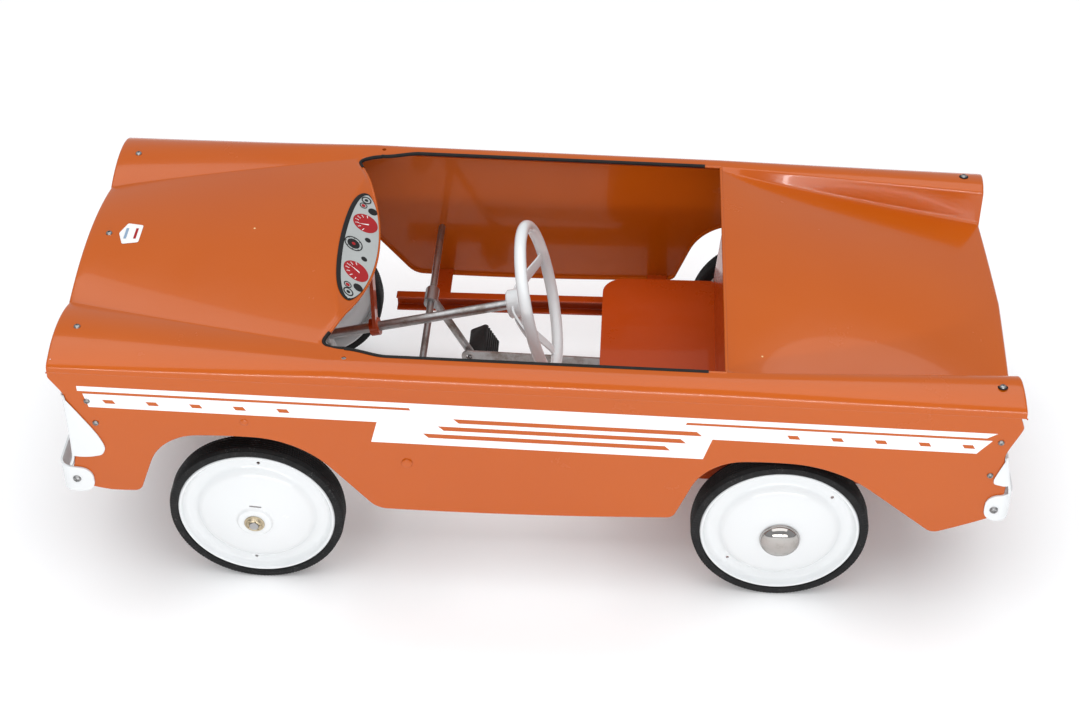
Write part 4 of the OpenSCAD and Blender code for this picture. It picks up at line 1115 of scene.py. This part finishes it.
def tail():
    """White rear panel with three pressed ribs, closed behind the hollow fins."""
    above = ((495, 193), (491.2, 214.5), (487.3, 236), (486, 248), (486, 290))
    back = profile_x((501, 170), (499, 180), *above)
    fold = profile_x((499, 170), (498, 180), *above)
    front = profile_x((486, 184), (480, 186), (478.6, 190), (479.5, 196), (488, 222))

    def relief(y, z):
        return rib_height(y, z, [(230 - 13 * n) * MM for n in range(3)], 106 * MM, 2.6 * MM)

    def top_at(y):
        return 284 * MM if y > 162 * MM else 249 * MM

    sheet = end_sheet("tail_pressing", -1, back, fold, 184 * MM, TAIL_EAR_Z,
                      lambda z: max(fold(z) - 3 * MM - front(z), 0.5 * MM), relief, top_at, WHITE)
    finish_piece(sheet, "white_enamel", "car_body", "tail_panel")


def lamp_seat(lower, upper, flat, facing):
    """Matrix that lays a lamp drawn round Z on the sloping flat of an end panel."""
    centre = (lower + upper) / 2
    return (Matrix.Translation((facing * flat_x(flat, centre.z), centre.y, centre.z))
            @ Matrix.Rotation(facing * (math.pi / 2 - flat_lean(flat)), 4, "Y"))


def fluted_lens(radius):
    """Domed headlamp glass with upright flutes; the radius is in millimetres."""
    def row(k, a):
        points = []
        for m in range(17):
            r = radius * m / 16
            flute = 0.35 * abs(math.sin(r * math.cos(a) / 2.4 * math.pi / 2)) * smoothstep((radius - r) / 3)
            points.append((r * math.cos(a), r * math.sin(a), 4.2 + 5.2 * (1 - (m / 16) ** 2) + flute))
        return in_mm(*points)

    return weld(grid("lamp_lens", around(144, row), LAMP_SILVER, wrap_rows=True))


def lamp_pieces():
    """Headlamps with a bright rim and a fluted lens, and domed red tail lamps."""
    rims, lenses, reds = [], [], []
    for pair in islands("headlamps"):
        seat, r = lamp_seat(*pair, LAMP_FLAT, 1), (pair[1].y - pair[0].y) / 2 / MM
        rim = curve(6, (r - 7.5, 3.5), (r - 6.4, 6.4), (r - 4, 8.2), (r - 1.4, 7), (r, 3.4), (r, 0.3))
        rims.append(moved(revolve("rim", rim + in_mm((r - 7.5, 0.3)), LAMP_SILVER, 96, closed=True), seat))
        lenses.append(moved(fluted_lens(r - 7), seat))
    for pair in islands("tail_lamps"):
        r = (pair[1].y - pair[0].y) / 2 / MM
        dome = curve(6, (0, 10.2), (r * 0.35, 9.7), (r * 0.7, 7.2), (r * 0.82, 4.6), (r * 0.9, 4.9),
                     (r * 0.98, 3.4), (r, 0.4))
        lens = revolve("dome", dome + in_mm((0, 0.4)), LAMP_RED, 80)
        reds.append(moved(lens, lamp_seat(*pair, TAIL_FLAT, -1)))
    finish_piece(joined("headlamp_rims", rims), "white_enamel", "car_body", "headlamps")
    finish_piece(joined("headlamp_fluted_lenses", lenses), "lamp_silver", "car_body", "headlamp_lenses")
    finish_piece(joined("tail_lamp_domes", reds), "lamp_red", "car_body", "tail_lamps")


# ---------- screws and rivets ----------

def cross_head(name, radius, height, material):
    """Pan head with a cross recess; its seat is at 0 on Z."""
    dome = [(0, height), (radius * 0.35, height * 0.98), (radius * 0.62, height * 0.85),
            (radius * 0.86, height * 0.55), (radius, height * 0.12), (radius, 0), (0, 0)]
    head = revolve(name, dome, material, 48)
    arm, half = radius * 0.56, radius * 0.11
    depth = height * 0.55
    # The cutters carry the near-black painted shade that lines the cross recess.
    cut(head, *[block("cross", (-a, -b, depth), (a, b, height * 2), RECESS_SHADE)
                for a, b in ((arm, half), (half, arm))])
    return head


def washer(name, inner, outer, height, material):
    ring = [(inner, 0), (outer, 0), (outer, height * 0.6), (outer - height * 0.5, height), (inner, height)]
    return revolve(name, ring, material, 48, closed=True)


def side_seat(lower, upper, face):
    """Matrix that puts a head drawn on Z on a body side, with its seat at the given distance out."""
    side, centre = math.copysign(1, lower.y), (lower + upper) / 2
    return (Matrix.Translation((centre.x, side * face, centre.z))
            @ Matrix.Rotation(-side * math.pi / 2, 4, "X"))


def top_seat(lower, upper):
    """Matrix that lays a head on the top pressing under a CAD screw."""
    x, y, step = (lower.x + upper.x) / 2, (lower.y + upper.y) / 2, 2 * MM
    surface = bonnet_top_at if x > 0 else fin_top_at
    along = surface(x + step, y) - surface(x - step, y)
    sideways = surface(x, y + step) - surface(x, y - step)
    lean = along.cross(sideways).to_track_quat("Z", "Y")
    return Matrix.Translation(surface(x, y)) @ lean.to_matrix().to_4x4()


def fasteners():
    """Cross-headed screws and bolts, and the rivets and rod ends that were painted over."""
    screw = cross_head("screw_head", 3.6 * MM, 2.4 * MM, ZINC)
    bolt = cross_head("bolt_head", 4.5 * MM, 3.0 * MM, ZINC)
    parts = []
    for lower, upper in islands("top_screws"):
        seat, turn = top_seat(lower, upper), 1 + 3.5 * (lower.x + upper.x) + 2.5 * (lower.y + upper.y)
        if lower.x < 0:
            parts.append(moved(washer("screw_washer", 1.8 * MM, 5.2 * MM, 0.7 * MM, BLACK_RUBBER), seat))
            seat = seat @ Matrix.Translation((0, 0, 0.6 * MM))
        parts.append(moved(copy_of(screw, "top_screw"), seat @ Matrix.Rotation(turn, 4, "Z")))
    finish_piece(joined("top_cross_screws", parts), "zinc", "car_body", "top_screws")

    for node, piece, head, height, size, turn_at in (
            ("side_screws", "side_cross_screws", screw, 2.2 * MM, 0.92, lambda p: p.z * 60),
            ("bumper_bolts", "bumper_cross_bolts", bolt, 3.0 * MM, 1.0, lambda p: p.x * 3)):
        parts = []
        for lower, upper in islands(node):
            seat = side_seat(lower, upper, max(abs(lower.y), abs(upper.y)) - height)
            turn = Matrix.Rotation(turn_at((lower + upper) / 2), 4, "Z") @ Matrix.Scale(size, 4)
            parts.append(moved(copy_of(head, node + "_head"), seat @ turn))
        finish_piece(joined(piece, parts), "zinc", "car_body", node)
    for spare in (screw, bolt):
        bpy.data.objects.remove(spare)

    parts = []
    for lower, upper in islands("side_rivets"):
        r = (upper.x - lower.x) / 2 / MM
        dome = in_mm((0, 1.6), (r * 0.5, 1.45), (r * 0.85, 0.9), (r, 0.05), (0, 0.05))
        parts.append(moved(revolve("side_rivet", dome, ORANGE, 40), side_seat(lower, upper, HALF_W)))
    finish_piece(joined("painted_rivets", parts), "body_paint", "car_body", "side_rivets")

    rod, parts = middle("pedal_pivot_rod"), []
    rise = (high("pedal_pivot_rod").y - HALF_W) / MM
    r = (high("pedal_pivot_rod").z - rod.z) / MM + 0.4
    dome = in_mm((0, rise + 1), (r * 0.5, rise + 0.8), (r * 0.85, rise + 0.4), (r, rise * 0.6), (r, 0.1),
                 (0, 0.1))
    for side in (-1, 1):
        end = Vector((rod.x, side, rod.z))
        parts.append(moved(revolve("rod_head", dome, ORANGE, 40), side_seat(end, end, HALF_W)))
    finish_piece(joined("painted_rod_heads", parts), "body_paint", "car_body")


def bonnet_top_at(x, y):
    """Point of the bonnet or fender above (x, y)."""
    if abs(y) <= valley_y(x):
        return bonnet_surface(x, y)
    t = (HALF_W - abs(y)) / (HALF_W - valley_y(x))
    return Vector((x, y, bonnet_point(x, t, 0).z))


def fin_top_at(x, y):
    inner = mix(COCKPIT_HALF, 160 * MM, deck_share(x))
    t = EDGE * (HALF_W - abs(y)) / (HALF_W - inner)
    return Vector((x, y, deck_point(x, t, 0).z))


# ---------- wheels ----------

HUB_OUT = 13 * MM
WHEEL_TURNS = {"front_left": -6, "front_right": 0, "rear_left": -48, "rear_right": 0}
WHEEL_BODIES = {"front_left": "front_left_wheel", "front_right": "front_right_wheel",
                "rear_left": "crank", "rear_right": "rear_right_wheel"}


def wheel_seat(corner, turn=0.0):
    """Matrix that puts a piece drawn on the outer wheel face, with Z outward, on its wheel."""
    node = "wheel_" + corner
    side = 1 if corner.endswith("left") else -1
    face = max(abs(low(node).y), abs(high(node).y)) - HUB_OUT
    centre = middle("tyre_" + corner)
    return (Matrix.Translation((centre.x, side * face, centre.z))
            @ Matrix.Rotation(-side * math.pi / 2, 4, "X") @ Matrix.Rotation(math.radians(turn), 4, "Z"))


def disc_radius():
    """In millimetres."""
    return (high("wheel_front_left").z - low("wheel_front_left").z) / 2 / MM


def tyre_width():
    """In millimetres."""
    return (high("tyre_front_left").y - low("tyre_front_left").y) / MM - 2


def pressed_disc(slotted):
    """Disc wheel in one pressing: rim band, rolled lip, flat band, coned face and raised boss."""
    r, wide, hub, bore = disc_radius(), tyre_width(), 8.5, 5.05
    face = curve(5, (r - 0.2, -wide), (r - 0.2, -wide * 0.5), (r - 0.2, -3), (r - 0.9, -0.8), (r - 2.4, 0),
                 (r - 3.9, -0.9), (r - 5.6, -4.2), (r - 8.2, -6.8), (r - 11.5, -7.3), (r - 16, -6.9),
                 (r * 0.765, -5.2), (r * 0.72, -1.6), (r * 0.67, 1), (r * 0.56, 4.1), (r * 0.43, 6.9),
                 (r * 0.31, 8.9), (r * 0.25, 9.5), (r * 0.228, 10.3), (r * 0.212, 12), (r * 0.19, 12.8),
                 (hub + 1.5, 13), (hub - 0.5, 12.8))
    disc = revolve("wheel_disc", face, WHITE, 128, sharp_angle=50)
    if sum(f.normal.z for f in disc.data.polygons) < 0:
        disc.data.flip_normals()
    thicken(disc, 1.3 * MM, 50)
    hole_at, slot_at = r * 0.83 * MM, -21.5
    cutters = [rod_between("hole", (0, s * hole_at, -0.03), (0, s * hole_at, 0.03), 1.9 * MM, WHITE)
               for s in (-1, 1)]
    if slotted:
        cutters.append(block("slot", *in_mm((-6.5, slot_at - 1, -10), (6.5, slot_at + 1, 30)), WHITE))
    cut(disc, *cutters)
    shade(disc.data, 50)
    barrel = in_mm((bore, -wide - 1), (hub, -wide - 1), (hub, 12.6), (bore, 12.6))
    return joined("wheel_disc", [disc, revolve("hub_tube", barrel, WHITE, 48, closed=True)])


def moulded_tyre():
    """Solid rubber tyre: knurled ring on each wall, five grooves round the tread."""
    half, r_in = tyre_width() / 2, disc_radius()
    r_out = (high("tyre_front_left").z - low("tyre_front_left").z) / 2 / MM
    wall = [(r_in + out, half + bulge) for out, bulge in
            ((0.1, 0), (0.8, 0.7), (2, 1), (4, 0.9), (6, 0.6), (8, 0.2))]
    wall += [(r_out - down, half - inward) for down, inward in ((3.4, 0.5), (2, 1.5), (0.9, 3), (0.25, 4.4))]
    tread_half, grooves, steps, teeth = half - 5, 5, 640, 160
    tread = [(r_out - (1.1 if 0.3 < (k % 8) / 8 < 0.7 else 0),
              mix(tread_half, -tread_half, k / (grooves * 8))) for k in range(grooves * 8 + 1)]
    profile = wall + tread + [(r, -h) for r, h in reversed(wall)]

    def row(k, angle):
        tooth = k % (steps // teeth) < steps // teeth // 2
        points = []
        for r, h in profile:
            raised_here = tooth and r_in + 5.4 <= r <= r_out - 1.2 and abs(h) > tread_half
            points.append((r * math.cos(angle), r * math.sin(angle),
                           h + math.copysign(0.4 if raised_here else 0, h) - half))
        return in_mm(*points)

    return weld(grid("tyre", around(steps, row), TYRE, wrap_rows=True, wrap_cols=True, sharp_angle=30))


def hub_cap():
    """Domed cap with a rolled foot."""
    r = (high("hub_cap_rear_left").x - low("hub_cap_rear_left").x) / 2 / MM
    top, base = 23.4, 10.8
    outer = [(r * math.sin(a), base + (top - base) * math.cos(a) ** 0.9)
             for a in (math.radians(d) for d in range(0, 86, 5))]
    foot = [(r, base + 0.6), (r + 0.25, base + 0.1), (r - 0.2, base - 0.4), (r - 1, base - 0.3),
            (r - 1, base + 0.6)]
    inner = [(max(x - 1, 0), h - 1) for x, h in reversed(outer)]
    return revolve("hub_cap", in_mm(*outer, *foot, *inner), CHROME, 96)


def push_nut():
    """Pressed push-on nut: a flange, a raised crown cut into fingers and a sunk centre."""
    profile = ((5.05, 15.4), (5.3, 17.2), (6.2, 17.6), (7.6, 16.9), (8.4, 15.4), (9.2, 14.4), (10.6, 14.3),
               (11, 13.9), (11, 13.4), (5.05, 13.4))

    def row(k, angle):
        notch = 1.2 if k % 16 < 3 else 0
        return in_mm(*[(r * math.cos(angle), r * math.sin(angle), h - (notch if h > 15 and r < 8 else 0))
                       for r, h in profile])

    return weld(grid("push_nut", around(96, row), BRASSY, wrap_rows=True, wrap_cols=True, sharp_angle=30))


def wheels():
    """Four discs and tyres, three hub caps and four push nuts, each a copy of one model."""
    discs = {"front": pressed_disc(True), "rear": pressed_disc(False)}
    tyre, cap, nut = moulded_tyre(), hub_cap(), push_nut()

    def place(model, name, corner, turn=0.0):
        return moved(copy_of(model, name), wheel_seat(corner, turn))

    for corner, turn in WHEEL_TURNS.items():
        body = WHEEL_BODIES[corner]
        disc = place(discs[corner.split("_")[0]], corner + "_disc", corner, turn)
        finish_piece(disc, "white_enamel", body, "wheel_" + corner)
        finish_piece(place(tyre, corner + "_tyre", corner), "tyre", body, "tyre_" + corner)
        if corner != "front_left":
            finish_piece(place(cap, corner + "_cap", corner), "chrome", body, "hub_cap_" + corner)
    for side in ("left", "right"):
        corner = "front_" + side
        push_on = place(nut, corner + "_push_nut", corner, 10)
        finish_piece(push_on, "zinc", "stub_" + side, "push_nut_" + corner)
    rear = [place(nut, "rear_nut", corner, 10) for corner in ("rear_left", "rear_right")]
    finish_piece(joined("rear_push_nuts", rear), "zinc", "crank", "push_nuts_rear")
    for spare in (*discs.values(), tyre, cap, nut):
        bpy.data.objects.remove(spare)


# ---------- steering ----------

def steering_axis():
    """Centre of the steering joint and its direction toward the driver."""
    joint = next(j for j in frame["joints"] if j["child"] == "steering")
    axis = Vector(joint["axis"]).normalized()
    return Vector(joint["pos_m"]), -axis if axis.x > 0 else axis


def spoke(rim_r, dish):
    """Pressed strap from the dished hub to the rim, along X."""
    rows = []
    for r, h in curve(6, (13, dish), (24, dish - 2), (48, dish * 0.55), (68, dish * 0.16), (rim_r - 1, 0)):
        half = mix(8.2, 6.0, clamp01(r / (rim_r * MM))) * MM
        rows.append([Vector((r, half * s, h - 0.8 * MM * (1 - s * s)))
                     for s in (-1, -0.8, -0.4, 0, 0.4, 0.8, 1)])
    band = thicken(grid("spoke", rows, WHITE, sharp_angle=60), 2.6 * MM, 40)
    soft = band.modifiers.new("edges", "BEVEL")
    soft.width, soft.segments, soft.limit_method = 0.8 * MM, 3, "ANGLE"
    return settle(band, 60)


def steering_wheel():
    """Moulded rim on three pressed straps with a dished hub; sizes in millimetres."""
    centre, back = steering_axis()
    forward = -back
    up = (Vector((0, 0, 1)) - forward * forward.z).normalized()
    left = up.cross(forward)
    seat = Matrix(((*up, 0), (*left, 0), (*forward, 0), (0, 0, 0, 1))).transposed()
    seat.translation = centre
    tube_r, dish, hub_r, bore = 6.5, 27, 16, 5.6
    rim_r = (high("steering_wheel").y - low("steering_wheel").y) / 2 / MM - tube_r

    def rim_row(k, a):
        grip = 0.28 * max(0.0, math.cos(a * 48)) ** 2
        ring = []
        for b in (2 * math.pi * m / 28 for m in range(28)):
            thick = tube_r + (grip if abs(b - math.pi) < 2.0 else 0)
            ring.append(((rim_r + thick * math.cos(b)) * math.cos(a),
                         (rim_r + tube_r * math.cos(b)) * math.sin(a), tube_r * math.sin(b)))
        return in_mm(*ring)

    parts = [grid("rim", around(144, rim_row), WHITE, wrap_rows=True, wrap_cols=True, sharp_angle=60)]
    parts += [moved(spoke(rim_r, dish), Matrix.Rotation(math.radians(d), 4, "Z")) for d in (90, 180, 270)]
    hub = in_mm((0, dish - 7.5), (10, dish - 7.5), (14.6, dish - 6.6), (hub_r, dish - 4.6),
                (hub_r, dish + 6.5), (14.5, dish + 8), (bore, dish + 8), (bore, dish - 2), (0, dish - 2))
    parts.append(revolve("hub", hub, WHITE, 64))
    wheel = joined("steering_wheel_moulding", parts)
    finish_piece(moved(wheel, seat), "white_enamel", "steering", "steering_wheel")
    cap = curve(6, (0, -6.2), (4, -5.8), (8, -4.2), (10, -1.2), (10.2, 0))
    nut = moved(revolve("steering_cap", cap + [(0, 0)], CHROME, 64),
                seat @ Matrix.Translation((0, 0, (dish - 7.4) * MM)))
    finish_piece(nut, "chrome", "steering", "steering_wheel_nut")


# ---------- pedals ----------

def pedal_outline(half_x, half_z):
    """Side view of a block: ribs on both faces and round ends, in millimetres."""
    outline, round_r, ribs = [], 4, 6
    for face in (1, -1):
        for k in range(ribs * 6 + 1):
            groove = 1.4 if 2 <= k % 6 <= 4 else 0
            z = mix(round_r - half_z, half_z - round_r, k / (ribs * 6))
            outline.append((face * (half_x - groove), face * z))
        for degrees in (20, 45, 70, 90, 110, 135, 160):
            a = math.radians(degrees)
            middle_x = half_x - round_r if degrees <= 90 else round_r - half_x
            outline.append((face * (middle_x + round_r * math.cos(a)),
                            face * (half_z - round_r + round_r * math.sin(a))))
    return outline


def pedal_blocks():
    """Ribbed rubber blocks in line with their arms."""
    half_x, bevel = 12, 1.5
    outline = pedal_outline(half_x, 17)
    for name, node in (("left", "pedal_block_left"), ("right", "pedal_block_right")):
        pivot = Vector(next(j for j in frame["joints"] if j["child"] == "pedal_" + name)["pos_m"])
        centre = middle(node)
        lean = math.atan2(centre.x - pivot.x, pivot.z - centre.z)
        end = ((0, 1), (0.3, 0.3), (1, 0))
        sections = [(low(node).y / MM + bevel * depth, inset) for depth, inset in end]
        sections += [(high(node).y / MM - bevel * depth, inset) for depth, inset in reversed(end)]
        rows = []
        for y, inset in sections:
            size = 1 - inset * bevel / half_x
            rows.append(in_mm(*[(x * size, y, z * size) for x, z in outline]))
        pad = grid("pedal_block", rows, PEDAL_RUBBER, wrap_cols=True, sharp_angle=40)
        remade(pad, lambda work: bmesh.ops.holes_fill(work, edges=work.edges, sides=0),
               lambda work: bmesh.ops.recalc_face_normals(work, faces=work.faces))
        shade(pad.data, 40)
        seat = Matrix.Translation((centre.x, 0, centre.z)) @ Matrix.Rotation(-lean, 4, "Y")
        finish_piece(moved(pad, seat), "pedal_rubber", "pedal_" + name, node)


# ---------- chassis and mechanism ----------

def mechanism():
    """Frame and running gear: the CAD solids with broken edges and their own finish."""
    for width, nodes in ((0.7, ("front_cross_member",)),
                         (0.6, ("beam_hangers", "column_foot_bracket", "column_dash_bracket", "chassis_rails",
                                "outriggers")),
                         (0.8, ("rear_cross_member",)), (0.4, ("seat_back", "seat_pan"))):
        for node in nodes:
            softened(node, width * MM, INNER_ORANGE, "body_paint", "car_body")
    for node, body, width in (("front_axle_beam", "car_body", 0.6), ("axle_hangers", "car_body", 0.6),
                              ("pedal_pivot_rod", "car_body", 0.5), ("track_rod", "track_link", 0.4),
                              ("steering_column", "steering", 0.5), ("crank_axle", "crank", 0.6)):
        softened(node, width * MM, STEEL, "bare_steel", body)
    softened("axle_bushes", 0.5 * MM, NYLON, "nylon", "car_body")
    for side in ("left", "right"):
        for node, body, width in (("stub_axle_", "stub_", 0.4), ("pedal_rod_", "rod_", 0.5),
                                  ("pedal_arm_", "pedal_", 0.5)):
            softened(node + side, width * MM, STEEL, "bare_steel", body + side)
        softened("kingpin_nut_" + side, 0.5 * MM, ZINC, "zinc", "stub_" + side)
        for holder in NODES["side_flash_" + side].material_slots:
            holder.material = FLASH
    for node in ("front_bumper", "rear_bumper"):
        softened(node, 0.55 * MM, WHITE, "white_enamel", "car_body", 3)


def cockpit_black_bead(rows, dash):
    """Black bead round the cockpit's front corners and along its sides."""
    beside = sum(row[-1] is None for row in rows)
    edge = [rows[i][EDGE_COLUMN] for i in range(dash + beside, dash - 1, -1)]
    corner = [rows[dash][j] for j in range(EDGE_COLUMN + 1, FOOT_COLUMN + 9)]
    for side in (1, -1):
        path = [Vector((p.x, p.y * side, p.z - 0.4 * MM)) for p in edge + corner]
        bead = tube("cockpit_black_bead", path, 2.1 * MM, BLACK_RUBBER, sides=14)
        finish_piece(bead, "tyre", "car_body")


look_from(math.radians(-3.175), math.radians(40.05), 2.2942,
          Vector((1.57 * MM, 0, 170.0 * MM)), math.radians(-0.33), 67.82)
studio()
top, dash_row = body_top()
cockpit_black_bead(top, dash_row)
dash_cluster()
nose_label()
side_panels()
grille()
tail()
lamp_pieces()
fasteners()
wheels()
steering_wheel()
pedal_blocks()
mechanism()
